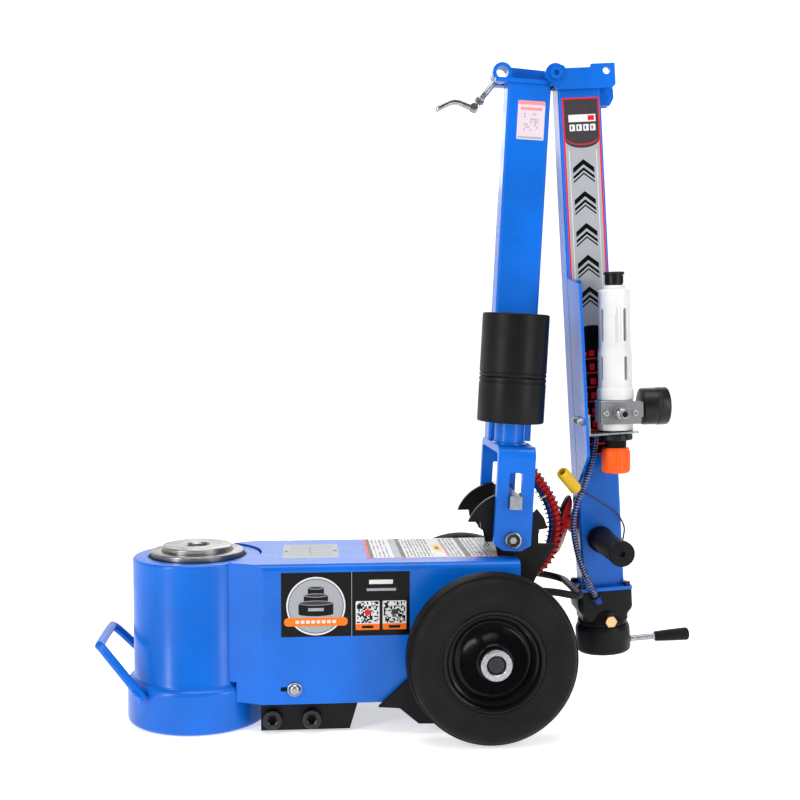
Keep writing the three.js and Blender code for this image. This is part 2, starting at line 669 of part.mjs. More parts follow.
function airUnit() {
  const bowl = turned([
    [15, 43.5], [24.8, 43.5], [24.8, 57], [23, 59], [23, 108], [21.6, 112], [21.6, 188],
    [17, 194], [15, 194], [15, 199], [11.8, 199], [11.8, 180], [15, 176], [15, 43.5],
  ], 18);
  const slots = [];
  for (const turn of [23, 113, 203, 293]) {
    for (const [low, high] of [[70, 103], [123, 168]]) {
      slots.push(box(12, 30, -2.6, 2.6, low, high).rotate([0, 0, turn]));
    }
  }
  const cap = turned([
    [0, 170], [11.2, 170], [11.2, 200], [12, 201], [12, 213.5], [14, 214.5], [14, 217.5], [0, 217.5],
  ], 18);
  const body = join(
    turned([[0, 1.5], [24, 1.5], [24, 43.2], [0, 43.2]], 24),
    box(-24, 0, -22, 22, 11, 42),
    barZ(14, 0, 0, -22, 2, 28),
  ).subtract(box(-40, 40, -40, -21.7, 10.7, 42.8));
  const nut = turned([[14.5, -12], [22.5, -12], [22.5, -4], [14.5, -4], [14.5, -12]], 24);
  const knob = turned([[0, -57], [17, -57], [19, -54], [19, -26], [16.5, -22.5], [0, -22.5]], 16);
  const ribs = [];
  for (let n = 0; n < 8; n++) ribs.push(barZ(1.8, 19.6, 0, -60, -24, 6).rotate([0, 0, n * 45]));
  const plate = box(-27, 29, -26, -22, 11, 42);
  const arm = box(25, 33, -25, -14, 20, 40);
  const screws = [-19, 21].map((x) => barY(4, x, 26, -28, -25, 16));
  const nipple = turned([
    [0, 0], [8, 0], [8, 7], [5, 8], [5, 14], [6.5, 16], [6.5, 24], [3.5, 24], [3.5, 10], [0, 10],
  ], 16)
    .rotate([90, 0, 0])
    .translate([0, -26.3, 26]);
  const gauge = join(barX(26, 0, 33, 36, 71, 28), barX(5, 0, 33, 33.3, 37, 16))
    .subtract(barX(23, 0, 33, 68, 80, 28));
  return [
    part("bowl_guard", onAirAxis(cut(bowl, ...slots)), WHITE),
    part("bowl_cap", onAirAxis(cap), BLACK),
    part("regulator_body", onAirAxis(body), WHITE),
    part("regulator_ring_nut", onAirAxis(nut), BLACK),
    part("regulator_knob", onAirAxis(cut(knob, ...ribs)), ORANGE),
    part("port_plate", onAirAxis(join(plate, arm, ...screws)), GREY),
    part("inlet_nipple", onAirAxis(nipple), STEEL),
    part("pressure_gauge", onAirAxis(gauge), BLACK),
  ];
}

function controlHead() {
  const top = UPPER_TUBE_LOW - 5 - GAP;
  const low = -762;
  const axisY = TUBE_NEAR + 16;
  const at = (m) => m.translate([CONTROL_U, axisY, 0]);
  const block = join(
    plateZ(roundedRect(-39, 39, -30, 30, 8), -752, top, 4),
    turned([[0, -772], [35, -772], [35, -764], [30, -752], [0, -751]], 28),
    plateZ(roundedRect(-34, 34, -29, 29, 8), low, -751, 4),
  );
  const disc = turned([[0, -812], [34, -812], [38.5, -807], [38.5, -776], [36, -772.3], [0, -772.3]], 32);
  const seat = barX(5, 0, LEVER_W, 30, 40, 16);
  const lever = join(
    turned([[0, 31], [4.5, 31], [4.5, 76], [0, 76]], 12),
    turned([[0, 75], [7, 75], [8.6, 100], [9, 120], [6.5, 126], [0, 126]], 16),
  );
  const sideways = lever.rotate([0, 90, 0]).translate([0, 0, LEVER_W]);
  const plug = barY(8.6, 3, -762.5, -42, -35, 6);
  const plugSeat = barY(6, 3, -762.5, -45, -24, 14);
  return [
    part("control_block", at(block.subtract(plugSeat)), BLACK),
    part("control_disc", at(disc.subtract(seat)), BLACK),
    part("control_lever", at(sideways), STEEL),
    part("brass_plug", at(join(plug, barY(5.4, 3, -762.5, -36.5, -26, 14))), BRASS),
  ];
}

function grip(name, side) {
  const from = side < 0 ? -TUBE_NEAR + GAP : TUBE_FAR + GAP;
  const profile = [
    [0, 0], [18.5, 0], [18.5, 10], [16.5, 14], [16.5, 104], [17.5, 108], [17.5, 116], [15.5, 118], [0, 118],
  ].map(([r, d]) => [r, from + d]);
  return part(name, turnedY(profile, side, 22).translate([32, 0, -649]), RUBBER);
}

// A rubber disc on a slanting stem: its face looks towards the rams and a little up.
function restBuffer() {
  const slant = 16;
  const centre = [-15, 42, -630];
  const disc = turned([[0, -5], [30, -5], [41, -3.5], [44, 0], [42, 5], [36, 7], [0, 7]], 30)
    .rotate([0, slant - 90, 0])
    .translate(centre);
  const stem = barX(11, 42, -626, -14, UPPER_TUBE_U - GAP, 20);
  return part("rest_buffer", disc.add(stem), RUBBER);
}

function airHose() {
  const route = [
    [29, 0, -497.5], [25, -1, -520], [16, -3, -548], [5, -6, -572], [-6, -11, -594], [-11.5, -13, -614],
    [-11.7, -13.5, -640], [-4.3, -10, -675], [7.3, -7, -705], [19.3, -3, -731],
  ];
  return part("air_hose", rod(route, 5, 8, 36), BLUE);
}

function dustCap() {
  const cap = turned([[0, 0], [8.5, 0], [8.5, 38], [7.5, 41], [5, 41], [5, 12], [0, 12]], 14)
    .rotate([27.4, -39.1, 0])
    .translate([-8, -24, -570]);
  const tether = rod([
    [-8, -24, -570], [6, -20, -577], [20, -12, -586], [38, 0, -599], [55, 10, -612], [66.5, 16, -632],
    [67, 22, -648], [66.4, 30, -657],
  ], 1.3, 6, 34);
  return part("dust_cap", cap.add(tether), YELLOW);
}

// Hoses between the body and the handle, in one bundle. They bend as the handle tilts.
function hoseBundle() {
  const route = [
    [428, 6, 352], [450, 4, 336], [470, 2, 312], [485, 0, 286], [492, 0, 260], [489, 0, 231], [478, 0, 206],
    [460, 0, 190], [440, 0, 182],
  ];
  return part("hose_bundle", rod(route, 10, 8, 24), RED);
}

// ---------- assembly ----------
base.add(baseCylinder(), wiperRing(), frontLoop(), bodyCover(), pumpBlock(), airMotor());
base.add(outerRam(), innerRam());
for (const [word, side] of [["near", -1], ["far", 1]]) {
  base.add(sideBar("side_bar_" + word, side));
  BAR_SCREWS_X.forEach((x, n) => base.add(barScrew("bar_screw_" + word + "_" + (n + 1), x, side)));
  base.add(axlePlate("axle_plate_" + word, side), quadrantPlate("quadrant_plate_" + word, side));
  base.add(...wheel("wheel_" + word, side));
}
base.add(coverBolt("cover_bolt_near", -1), axle(), pivotPin(), restLoop(), hoseBundle());

lowerHandle.position.set(PIVOT_X, 0, PIVOT_Z);
lowerHandle.rotation.y = LOWER_LEAN;
lowerHandle.add(fork(), latchBar(), lowerTube(), adapterPost(), adapterLower(), adapterUpper());
lowerHandle.add(lowerHingeBracket(), hingePin(), swingBolt(), camLever());

const hinge = new THREE.Vector3(HINGE_X, 0, HINGE_Z).applyAxisAngle(new THREE.Vector3(0, 1, 0), LOWER_LEAN);
upperHandle.position.set(PIVOT_X + hinge.x, 0, PIVOT_Z + hinge.z);
upperHandle.rotation.y = UPPER_LEAN;
upperHandle.add(upperHingeBracket(), upperTube(), airUnitBracket(), shelf(), ...airUnit(), ...controlHead());
upperHandle.add(grip("grip_near", -1), grip("grip_far", 1), restBuffer(), airHose(), dustCap());

const jack = new THREE.Group();
jack.add(base, lowerHandle, upperHandle);
export default jack;
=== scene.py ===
"""Looks of a two-stage air-hydraulic truck jack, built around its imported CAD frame.

Shapes are written in millimetres in one of three frames: the base's, the lower handle's
(origin on the tilt pivot) and the upper handle's (origin on the fold hinge).
"""

import json
import random
from math import cos, pi, radians, sin

import bpy
from mathutils import Matrix, Vector
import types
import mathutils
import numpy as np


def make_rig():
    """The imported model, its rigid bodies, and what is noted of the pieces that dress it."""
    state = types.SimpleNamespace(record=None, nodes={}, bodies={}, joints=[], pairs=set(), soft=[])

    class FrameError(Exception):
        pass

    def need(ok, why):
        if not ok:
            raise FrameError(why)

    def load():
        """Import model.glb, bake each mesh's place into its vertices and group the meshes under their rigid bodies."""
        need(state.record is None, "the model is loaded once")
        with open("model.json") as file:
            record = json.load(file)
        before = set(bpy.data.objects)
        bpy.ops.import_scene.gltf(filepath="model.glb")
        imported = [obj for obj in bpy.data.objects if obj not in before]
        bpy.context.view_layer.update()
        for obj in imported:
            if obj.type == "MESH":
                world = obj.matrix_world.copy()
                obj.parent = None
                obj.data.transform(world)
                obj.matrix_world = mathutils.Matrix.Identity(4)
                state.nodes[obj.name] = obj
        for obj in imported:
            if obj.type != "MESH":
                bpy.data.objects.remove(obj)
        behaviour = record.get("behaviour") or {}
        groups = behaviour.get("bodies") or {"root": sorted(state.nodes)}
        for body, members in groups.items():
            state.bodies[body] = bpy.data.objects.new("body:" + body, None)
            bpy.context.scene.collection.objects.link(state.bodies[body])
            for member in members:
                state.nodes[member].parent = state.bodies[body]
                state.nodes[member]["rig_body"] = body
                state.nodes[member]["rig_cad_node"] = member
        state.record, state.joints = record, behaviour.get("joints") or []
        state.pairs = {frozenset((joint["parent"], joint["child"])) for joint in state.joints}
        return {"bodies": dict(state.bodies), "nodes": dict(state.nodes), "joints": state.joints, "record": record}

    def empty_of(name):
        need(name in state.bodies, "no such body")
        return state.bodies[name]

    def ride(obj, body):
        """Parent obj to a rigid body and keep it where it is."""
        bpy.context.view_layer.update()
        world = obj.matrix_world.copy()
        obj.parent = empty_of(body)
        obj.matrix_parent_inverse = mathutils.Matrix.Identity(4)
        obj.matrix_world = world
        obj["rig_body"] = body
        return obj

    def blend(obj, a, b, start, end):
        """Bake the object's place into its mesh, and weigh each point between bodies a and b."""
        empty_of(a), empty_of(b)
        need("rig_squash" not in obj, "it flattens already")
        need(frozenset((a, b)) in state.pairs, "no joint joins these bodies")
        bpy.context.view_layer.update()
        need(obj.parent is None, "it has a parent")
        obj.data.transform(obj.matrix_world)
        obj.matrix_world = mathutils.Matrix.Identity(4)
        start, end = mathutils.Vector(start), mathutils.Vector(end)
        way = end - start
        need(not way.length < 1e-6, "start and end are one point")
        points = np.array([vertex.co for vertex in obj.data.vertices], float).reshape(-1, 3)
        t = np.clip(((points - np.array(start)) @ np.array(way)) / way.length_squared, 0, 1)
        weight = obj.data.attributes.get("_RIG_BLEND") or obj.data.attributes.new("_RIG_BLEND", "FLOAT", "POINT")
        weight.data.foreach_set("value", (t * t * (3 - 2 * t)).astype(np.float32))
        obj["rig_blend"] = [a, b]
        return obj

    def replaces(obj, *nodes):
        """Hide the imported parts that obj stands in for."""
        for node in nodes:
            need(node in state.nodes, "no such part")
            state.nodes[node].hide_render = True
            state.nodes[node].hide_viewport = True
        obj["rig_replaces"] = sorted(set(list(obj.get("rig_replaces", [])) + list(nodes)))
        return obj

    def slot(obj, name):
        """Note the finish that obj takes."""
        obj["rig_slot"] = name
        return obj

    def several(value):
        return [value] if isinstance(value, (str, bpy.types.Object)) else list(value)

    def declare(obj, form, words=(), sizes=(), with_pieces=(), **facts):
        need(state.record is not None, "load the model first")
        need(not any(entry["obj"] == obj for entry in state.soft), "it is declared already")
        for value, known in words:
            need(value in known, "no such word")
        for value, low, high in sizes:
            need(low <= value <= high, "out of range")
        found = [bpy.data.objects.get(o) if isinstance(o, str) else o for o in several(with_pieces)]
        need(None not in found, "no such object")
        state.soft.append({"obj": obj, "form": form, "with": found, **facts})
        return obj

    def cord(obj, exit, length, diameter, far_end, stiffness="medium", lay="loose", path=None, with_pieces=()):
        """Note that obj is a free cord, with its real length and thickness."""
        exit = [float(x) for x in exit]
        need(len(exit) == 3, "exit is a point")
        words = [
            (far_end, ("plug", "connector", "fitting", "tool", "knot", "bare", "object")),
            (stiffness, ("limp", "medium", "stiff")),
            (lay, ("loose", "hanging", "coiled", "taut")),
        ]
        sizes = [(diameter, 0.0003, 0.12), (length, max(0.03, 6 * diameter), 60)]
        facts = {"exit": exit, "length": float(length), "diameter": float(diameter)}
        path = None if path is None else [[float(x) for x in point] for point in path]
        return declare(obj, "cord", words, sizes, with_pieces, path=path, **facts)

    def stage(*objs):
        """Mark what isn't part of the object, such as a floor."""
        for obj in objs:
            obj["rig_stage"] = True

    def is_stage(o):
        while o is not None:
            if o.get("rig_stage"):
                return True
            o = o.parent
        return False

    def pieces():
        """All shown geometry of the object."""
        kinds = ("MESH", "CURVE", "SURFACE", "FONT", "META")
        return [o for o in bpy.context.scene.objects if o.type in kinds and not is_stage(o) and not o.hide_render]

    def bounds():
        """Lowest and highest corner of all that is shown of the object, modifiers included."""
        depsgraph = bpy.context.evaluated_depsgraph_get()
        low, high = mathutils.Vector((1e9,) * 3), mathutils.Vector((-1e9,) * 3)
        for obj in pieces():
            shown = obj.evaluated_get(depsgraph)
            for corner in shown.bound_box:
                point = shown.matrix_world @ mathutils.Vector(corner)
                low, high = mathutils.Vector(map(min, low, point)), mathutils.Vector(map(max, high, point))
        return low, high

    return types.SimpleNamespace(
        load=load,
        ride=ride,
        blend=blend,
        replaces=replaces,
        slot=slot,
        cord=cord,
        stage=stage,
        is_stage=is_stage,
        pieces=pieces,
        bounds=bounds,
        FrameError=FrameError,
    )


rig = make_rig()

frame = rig.load()
cad_low, cad_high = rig.bounds()
nodes = frame["nodes"]
scene = bpy.context.scene

MM = 0.001
PIVOT_X, PIVOT_Z = 420, 247.5  # tilt pivot of the handle
AXLE_X, AXLE_Z = 381, 110
BAR_SCREW_Z = 19
QUADRANT_R, QUADRANT_Y = 61, 54  # rim radius and mid-plane of the notched plates
LOWER_LEAN, UPPER_LEAN, AIR_LEAN = 3, -3.4, 2.2  # degrees, the last against the upper handle
COVER_SIDE, COVER_TOP = 95.02, 223.02  # planes that the labels lie on
TUBE_SIDE = 17.98  # near face of both handle tubes
LEVER_W, PLUG_W = -799, -762.5  # heights on the control head
LAYER = 0.03  # step between printed layers
TAU = 2 * pi
SCALE = Matrix.Scale(MM, 4)
BASE = SCALE
SIDES = ((-1, "near"), (1, "far"))


def move(x, y, z):
    return Matrix.Translation((x, y, z))


def turn(axis, degrees):
    return Matrix.Rotation(radians(degrees), 4, axis)


LOWER = move(PIVOT_X * MM, 0, PIVOT_Z * MM) @ turn("Y", LOWER_LEAN) @ SCALE
HINGE = LOWER @ Vector((38, 0, 632))
UPPER = Matrix.Translation(HINGE) @ turn("Y", UPPER_LEAN) @ SCALE


# ---- camera and light
def look_from(location, yaw, pitch):
    """A camera rotation that looks along +Y, turned yaw degrees towards +X and pitch degrees down."""
    a, e = radians(yaw), radians(pitch)
    forward = Vector((sin(a) * cos(e), cos(a) * cos(e), -sin(e)))
    return Matrix.Translation(location) @ forward.to_track_quat("-Z", "Y").to_matrix().to_4x4()


camera_data = bpy.data.cameras.new("camera")
camera_data.lens = 54
camera_data.sensor_width = 36
camera = bpy.data.objects.new("camera", camera_data)
camera.matrix_world = look_from((0.139, -1.634, 0.526), 4.80, 3.36)
scene.collection.objects.link(camera)
scene.camera = camera


def area_light(name, location, target, size, power, colour=(1, 1, 1)):
    data = bpy.data.lights.new(name, "AREA")
    data.shape = "RECTANGLE"
    data.size, data.size_y = size
    data.energy = power
    data.color = colour
    light = bpy.data.objects.new(name, data)
    light.location = location
    way = Vector(target) - Vector(location)
    light.rotation_euler = way.to_track_quat("-Z", "Y").to_euler()
    scene.collection.objects.link(light)


area_light("top_box", (0.3, -0.5, 2.3), (0.3, 0, 0.2), (1.8, 1.2), 30)
area_light("left_box", (-1.7, -1.5, 1.1), (0.1, 0, 0.3), (0.4, 1.8), 34)
area_light("right_box", (1.9, -1.7, 1.0), (0.3, 0, 0.4), (0.5, 1.8), 22)
area_light("back_box", (0.6, 2.2, 1.6), (0.3, 0, 0.4), (1.8, 1.2), 16)

world = bpy.data.worlds.new("studio")
world.use_nodes = True
background = world.node_tree.nodes["Background"]
background.inputs["Color"].default_value = (0.93, 0.95, 1.0, 1)
background.inputs["Strength"].default_value = 0.26
scene.world = world
scene.view_settings.view_transform = "Standard"


# ---- materials
class Paint:
    """Builds one node material: mottled colour, uneven gloss and one or two scales of bump."""

    def __init__(self, name, metallic=0.0):
        self.material = bpy.data.materials.new(name)
        self.material.use_nodes = True
        self.tree = self.material.node_tree
        self.shader = self.tree.nodes["Principled BSDF"]
        self.set("Metallic", metallic)
        self.where = self.tree.nodes.new("ShaderNodeTexCoord").outputs["Object"]

    def node(self, kind, **inputs):
        made = self.tree.nodes.new(kind)
        for key, value in inputs.items():
            made.inputs[key.replace("_", " ")].default_value = value
        return made

    def link(self, a, b):
        self.tree.links.new(a, b)

    def stretched(self, scale):
        """Object coordinates with each axis scaled."""
        mapping = self.node("ShaderNodeMapping", Scale=scale)
        self.link(self.where, mapping.inputs["Vector"])
        return mapping.outputs["Vector"]

    def noise(self, scale, detail=3.0, stretch=None, distortion=0.0):
        made = self.node("ShaderNodeTexNoise", Scale=scale, Detail=detail, Distortion=distortion)
        self.link(self.stretched(stretch) if stretch else self.where, made.inputs["Vector"])
        return made.outputs["Fac"]

    def mapped(self, value, low, high, out_low, out_high):
        made = self.tree.nodes.new("ShaderNodeMapRange")
        for n, x in enumerate((low, high, out_low, out_high), 1):
            made.inputs[n].default_value = x
        self.link(value, made.inputs[0])
        return made.outputs[0]

    def mixed(self, factor, a, b):
        """Colour a where factor is 0 and b where it is 1. Either may be a socket."""
        made = self.tree.nodes.new("ShaderNodeMix")
        made.data_type = "RGBA"
        self.link(factor, made.inputs[0])
        for socket, x in ((made.inputs[6], a), (made.inputs[7], b)):
            if isinstance(x, tuple):
                socket.default_value = (*x, 1)
            else:
                self.link(x, socket)
        return made.outputs[2]

    def set(self, name, value):
        self.shader.inputs[name].default_value = value

    def clouded(self, cloud, a, b):
        """Colours a and b in soft patches."""
        return self.mixed(self.mapped(cloud, 0.35, 0.65, 0, 1), a, b)

    def colour(self, socket):
        self.link(socket, self.shader.inputs["Base Color"])

    def rough(self, value, low, high):
        self.link(self.mapped(value, 0.3, 0.7, low, high), self.shader.inputs["Roughness"])

    def bump(self, *heights):
        """heights are (socket, strength, distance in metres), the coarse ones first."""
        normal = None
        for height, strength, distance in heights:
            made = self.node("ShaderNodeBump", Strength=strength, Distance=distance)
            self.link(height, made.inputs["Height"])
            if normal:
                self.link(normal, made.inputs["Normal"])
            normal = made.outputs["Normal"]
        self.link(normal, self.shader.inputs["Normal"])


def shade(colour, factor):
    return tuple(c * factor for c in colour)


def gloss_paint(name, colour):
    """Sprayed enamel: slight orange peel, faint clouding and dulled patches."""
    p = Paint(name)
    base = p.clouded(p.noise(9.0, 4.0), shade(colour, 0.86), shade(colour, 1.08))
    dust = p.mapped(p.noise(60.0, 3.0), 0.62, 0.8, 0, 0.04)
    p.colour(p.mixed(dust, base, (0.20, 0.30, 0.48)))
    p.rough(p.noise(14.0, 5.0), 0.24, 0.36)
    p.bump((p.noise(420.0, 2.0), 0.07, 0.0006), (p.noise(1500.0, 2.0), 0.035, 0.0002))
    p.set("Coat Weight", 0.14)
    p.set("Coat Roughness", 0.16)
    p.set("Specular IOR Level", 0.22)
    return p.material


def satin_black(name, colour=(0.0035, 0.0035, 0.004), rough=(0.34, 0.5), texture=0.22):
    """Powder coat or painted castings, and painted shade in hollows: a fine pebble over a dark ground."""
    p = Paint(name)
    base = p.clouded(p.noise(12.0, 5.0), colour, shade(colour, 1.6))
    scuffs = p.mapped(p.noise(34.0, 8.0, (1, 1, 0.25), 1.2), 0.63, 0.75, 0, 0.08)
    p.colour(p.mixed(scuffs, base, (0.05, 0.05, 0.053)))
    p.rough(p.noise(22.0, 4.0), *rough)
    p.set("Specular IOR Level", 0.16)
    p.bump((p.noise(260.0, 3.0), texture, 0.0006), (p.noise(900.0, 2.0), texture * 0.7, 0.0003))
    return p.material


def metal(name, colour, rough=(0.2, 0.34), brushed=None, stain=0.8, bump=0.12, darker=0.72):
    """Bare metal. brushed stretches the grain along an axis."""
    p = Paint(name, metallic=1.0)
    grain = p.noise(300.0, 4.0, brushed or (1, 1, 1))
    clouds = p.noise(28.0, 6.0)
    base = p.clouded(grain, shade(colour, darker), colour)
    p.colour(p.mixed(p.mapped(clouds, 0.55, 0.75, 0, stain * 0.4), base, shade(colour, 0.45)))
    p.rough(grain, *rough)
    p.bump((grain, bump, 0.0004))
    return p.material


def turned_metal(name, colour):
    """Machined face: fine concentric tool marks round the Z axis, and a few stains."""
    p = Paint(name, metallic=1.0)
    wave = p.node("ShaderNodeTexWave", Scale=900.0, Distortion=1.0, Detail=2.0)
    wave.wave_type = "RINGS"
    wave.rings_direction = "Z"
    p.link(p.where, wave.inputs["Vector"])
    marks = wave.outputs["Fac"]
    clouds = p.noise(30.0, 6.0, distortion=0.6)
    base = p.mixed(marks, shade(colour, 0.75), colour)
    p.colour(p.mixed(p.mapped(clouds, 0.5, 0.72, 0, 0.6), base, shade(colour, 0.38)))
    p.rough(clouds, 0.22, 0.42)
    p.bump((marks, 0.12, 0.0002), (clouds, 0.08, 0.0010))
    return p.material


def rubber(name, colour=(0.003, 0.003, 0.0032), rough=(0.52, 0.72), pebble=0.3):
    """Moulded rubber: dusty, with a fine pebble."""
    p = Paint(name)
    base = p.clouded(p.noise(16.0, 6.0), colour, shade(colour, 1.8))
    dust = p.mapped(p.noise(90.0, 6.0), 0.58, 0.78, 0, 0.07)
    p.colour(p.mixed(dust, base, (0.05, 0.049, 0.047)))
    p.rough(p.noise(30.0, 5.0), *rough)
    p.set("Specular IOR Level", 0.16)
    p.bump((p.noise(120.0, 4.0), pebble * 0.5, 0.0008), (p.noise(1400.0, 2.0), pebble, 0.0003))
    return p.material


def plastic(name, colour, rough=(0.32, 0.46), spark=0.12, darker=0.9):
    """Moulded plastic: spark-eroded skin and slow colour drift."""
    p = Paint(name)
    p.colour(p.clouded(p.noise(20.0, 4.0), shade(colour, darker), colour))
    p.rough(p.noise(45.0, 4.0), *rough)
    p.set("Specular IOR Level", 0.28)
    p.bump((p.noise(700.0, 3.0), spark, 0.0003))
    return p.material


def film(name, colour, rough=(0.22, 0.32), darker=0.93):
    """Printed vinyl, with print mottle and a slightly wavy skin."""
    p = Paint(name)
    mottle = p.noise(1200.0, 2.0)
    p.colour(p.mixed(p.mapped(mottle, 0.3, 0.7, 0, 1), shade(colour, darker), colour))
    p.rough(p.noise(40.0, 3.0), *rough)
    p.set("Specular IOR Level", 0.14)
    p.bump((p.noise(60.0, 3.0), 0.05, 0.0010))
    return p.material


BLUE_RGB = (0.0003, 0.118, 0.55)
M = {
    "blue": gloss_paint("blue_enamel", BLUE_RGB),
    "black": satin_black("black_powder_coat"),
    "rim": satin_black("black_wheel_enamel", (0.003, 0.003, 0.0035), (0.14, 0.22), 0.04),
    "ram": turned_metal("turned_ram_steel", (0.34, 0.33, 0.32)),
    "zinc": metal("zinc_plated_steel", (0.40, 0.41, 0.43), (0.24, 0.38), stain=0.4),
    "chrome": metal("polished_cast_metal", (0.50, 0.49, 0.49), (0.08, 0.24), bump=0.25, darker=0.55),
    "oxide": metal("black_oxide_steel", (0.05, 0.05, 0.052), (0.25, 0.42), darker=0.6),
    # dark: the flat near-black put inside sockets, bores and hollows is painted shade, not a real finish
    "dark": satin_black("painted_shade_recess", (0.004, 0.004, 0.004), (0.6, 0.8), 0.1),
    "iron": metal("cast_iron_block", (0.16, 0.16, 0.17), (0.5, 0.7), bump=0.7),
    "aluminium": metal("blasted_aluminium", (0.26, 0.26, 0.27), (0.38, 0.55), bump=0.45),
    "ink_plate": metal("brushed_plate", (0.24, 0.25, 0.27), (0.28, 0.42), (0.05, 1, 1)),
    "brass": metal("machined_brass", (0.80, 0.50, 0.27), (0.22, 0.36), (1, 0.2, 1), darker=0.8),
    "tyre": rubber("tyre_rubber"),
    "rubber": rubber("moulded_rubber", (0.0025, 0.0025, 0.003), (0.4, 0.6), 0.18),
    "white": plastic("white_housing", (0.66, 0.66, 0.65), (0.34, 0.48)),
    "black_plastic": plastic("black_plastic", (0.004, 0.004, 0.0045), (0.3, 0.45), darker=0.7),
    "orange": plastic("orange_knob", (0.95, 0.115, 0.006), (0.34, 0.5)),
    "yellow": plastic("yellow_cap", (0.72, 0.44, 0.012), (0.28, 0.42), darker=0.8),
    "red_hose": plastic("red_corrugated_hose", (0.85, 0.012, 0.006), (0.28, 0.42), darker=0.7),
    "blue_hose": plastic("blue_hose", (0.006, 0.035, 0.25), (0.25, 0.4), darker=0.7),
    "white_tie": plastic("white_cable_tie", (0.82, 0.80, 0.80)),
    "red_disc": plastic("red_backing", (0.50, 0.004, 0.004), (0.35, 0.5), darker=0.7),
    "tether": plastic("brown_tether", (0.05, 0.028, 0.02), (0.4, 0.6)),
    "ink_black": film("print_black", (0.003, 0.003, 0.0035), (0.16, 0.26), 0.8),
    "ink_dark": film("print_charcoal", (0.045, 0.04, 0.045)),
    "ink_grey": film("print_grey", (0.33, 0.34, 0.37)),
    "ink_silver": film("print_silver", (0.33, 0.34, 0.36), (0.28, 0.4)),
    "ink_white": film("print_white", (0.66, 0.66, 0.65)),
    "ink_pale": film("print_pale", (0.62, 0.52, 0.57)),
    "ink_orange": film("print_orange", (0.92, 0.17, 0.01)),
    "ink_red": film("print_red", (0.70, 0.014, 0.018)),
    "ink_pink": film("print_pink", (0.80, 0.25, 0.27)),
    "ink_yellow": film("print_yellow", (0.86, 0.56, 0.03)),
}


# The record's material slot for pieces whose first material is this one.
SLOTS = {
    "blue": "blue_paint", "black": "black_paint", "rim": "black_paint", "ram": "ram_steel",
    "zinc": "zinc_steel", "chrome": "polished_metal", "oxide": "black_oxide", "iron": "cast_iron",
    "aluminium": "cast_aluminium", "ink_plate": "cast_aluminium", "brass": "brass", "tyre": "tyre_rubber",
    "rubber": "black_rubber", "white": "white_plastic", "black_plastic": "black_plastic",
    "orange": "orange_plastic", "yellow": "yellow_plastic", "red_hose": "red_hose",
    "blue_hose": "blue_hose",
}


# ---- mesh helpers
class Shape:
    """Collects closed surfaces, each with a material number, for one piece."""

    def __init__(self):
        self.points, self.faces, self.numbers = [], [], []

    def add(self, points, faces, number=0, at=None):
        start = len(self.points)
        self.points += [at @ Vector(p) for p in points] if at else [Vector(p) for p in points]
        self.faces += [tuple(start + i for i in f) for f in faces]
        self.numbers += [number] * len(faces)
        return self

    def grid(self, rows, number=0, at=None, closed=True):
        """Rings of points joined into a tube. An open tube gets flat ends."""
        n = len(rows[0])
        points = [p for row in rows for p in row]
        faces = []
        last = len(rows) if closed else len(rows) - 1
        for i in range(last):
            a, b = i * n, (i + 1) % len(rows) * n
            faces += [(a + j, a + (j + 1) % n, b + (j + 1) % n, b + j) for j in range(n)]
        if not closed:
            faces.append(tuple(range(n))[::-1])
            faces.append(tuple(range((len(rows) - 1) * n, len(rows) * n)))
        return self.add(points, faces, number, at)

    def turned(self, profile, sides=72, number=0, at=None):
        """A profile of (radius, height) turned about Z. A radius may be a function of the angle.

        Six numbers in the profile are an arc, as arc takes them.
        """
        profile = [q for p in profile for q in (arc(*p) if len(p) == 6 else [p])]
        ends_on_axis = profile[0][0] == 0 and profile[-1][0] == 0
        ring = profile[1:-1] if ends_on_axis else profile
        rows = []
        for r, z in ring:
            row = []
            for j in range(sides):
                a = TAU * j / sides
                k = r(a) if callable(r) else r
                row.append((k * cos(a), k * sin(a), z))
            rows.append(row)
        if not ends_on_axis:
            return self.grid(rows, number, at)
        start = len(self.points)
        self.grid(rows, number, at, closed=False)
        del self.faces[-2:], self.numbers[-2:]
        for z, row, flip in ((profile[0][1], 0, False), (profile[-1][1], len(rows) - 1, True)):
            pole = len(self.points)
            self.points.append(at @ Vector((0, 0, z)) if at else Vector((0, 0, z)))
            for j in range(sides):
                a, b = start + row * sides + j, start + row * sides + (j + 1) % sides
                self.faces.append((pole, a, b) if flip else (pole, b, a))
                self.numbers.append(number)
        return self

    def solid(self, profile, sides=72, number=0, at=None):
        """A turned profile whose two ends are closed by flat faces."""
        return self.turned([(0, profile[0][1]), *profile, (0, profile[-1][1])], sides, number, at)

    def prism(self, outline, z0, z1, number=0, at=None):
        """An outline of (x, y) between two heights."""
        n = len(outline)
        low = [(x, y, z0) for x, y in outline]
        high = [(x, y, z1) for x, y in outline]
        faces = [(j, (j + 1) % n, n + (j + 1) % n, n + j) for j in range(n)]
        faces += [tuple(range(n))[::-1], tuple(range(n, 2 * n))]
        return self.add(low + high, faces, number, at)

    def box(self, x0, x1, y0, y1, z0, z1, number=0, at=None):
        return self.prism([(x0, y0), (x1, y0), (x1, y1), (x0, y1)], z0, z1, number, at)

    def sweep(self, path, radius, sides=20, number=0, at=None):
        """A round tube along a path. radius may be a function of the share of the path."""
        rows = []
        for share, point, side, up in frames_along(path):
            r = radius(share) if callable(radius) else radius
            row = []
            for j in range(sides):
                a = TAU * j / sides
                row.append(point + side * (r * cos(a)) + up * (r * sin(a)))
            rows.append(row)
        return self.grid(rows, number, at, closed=False)


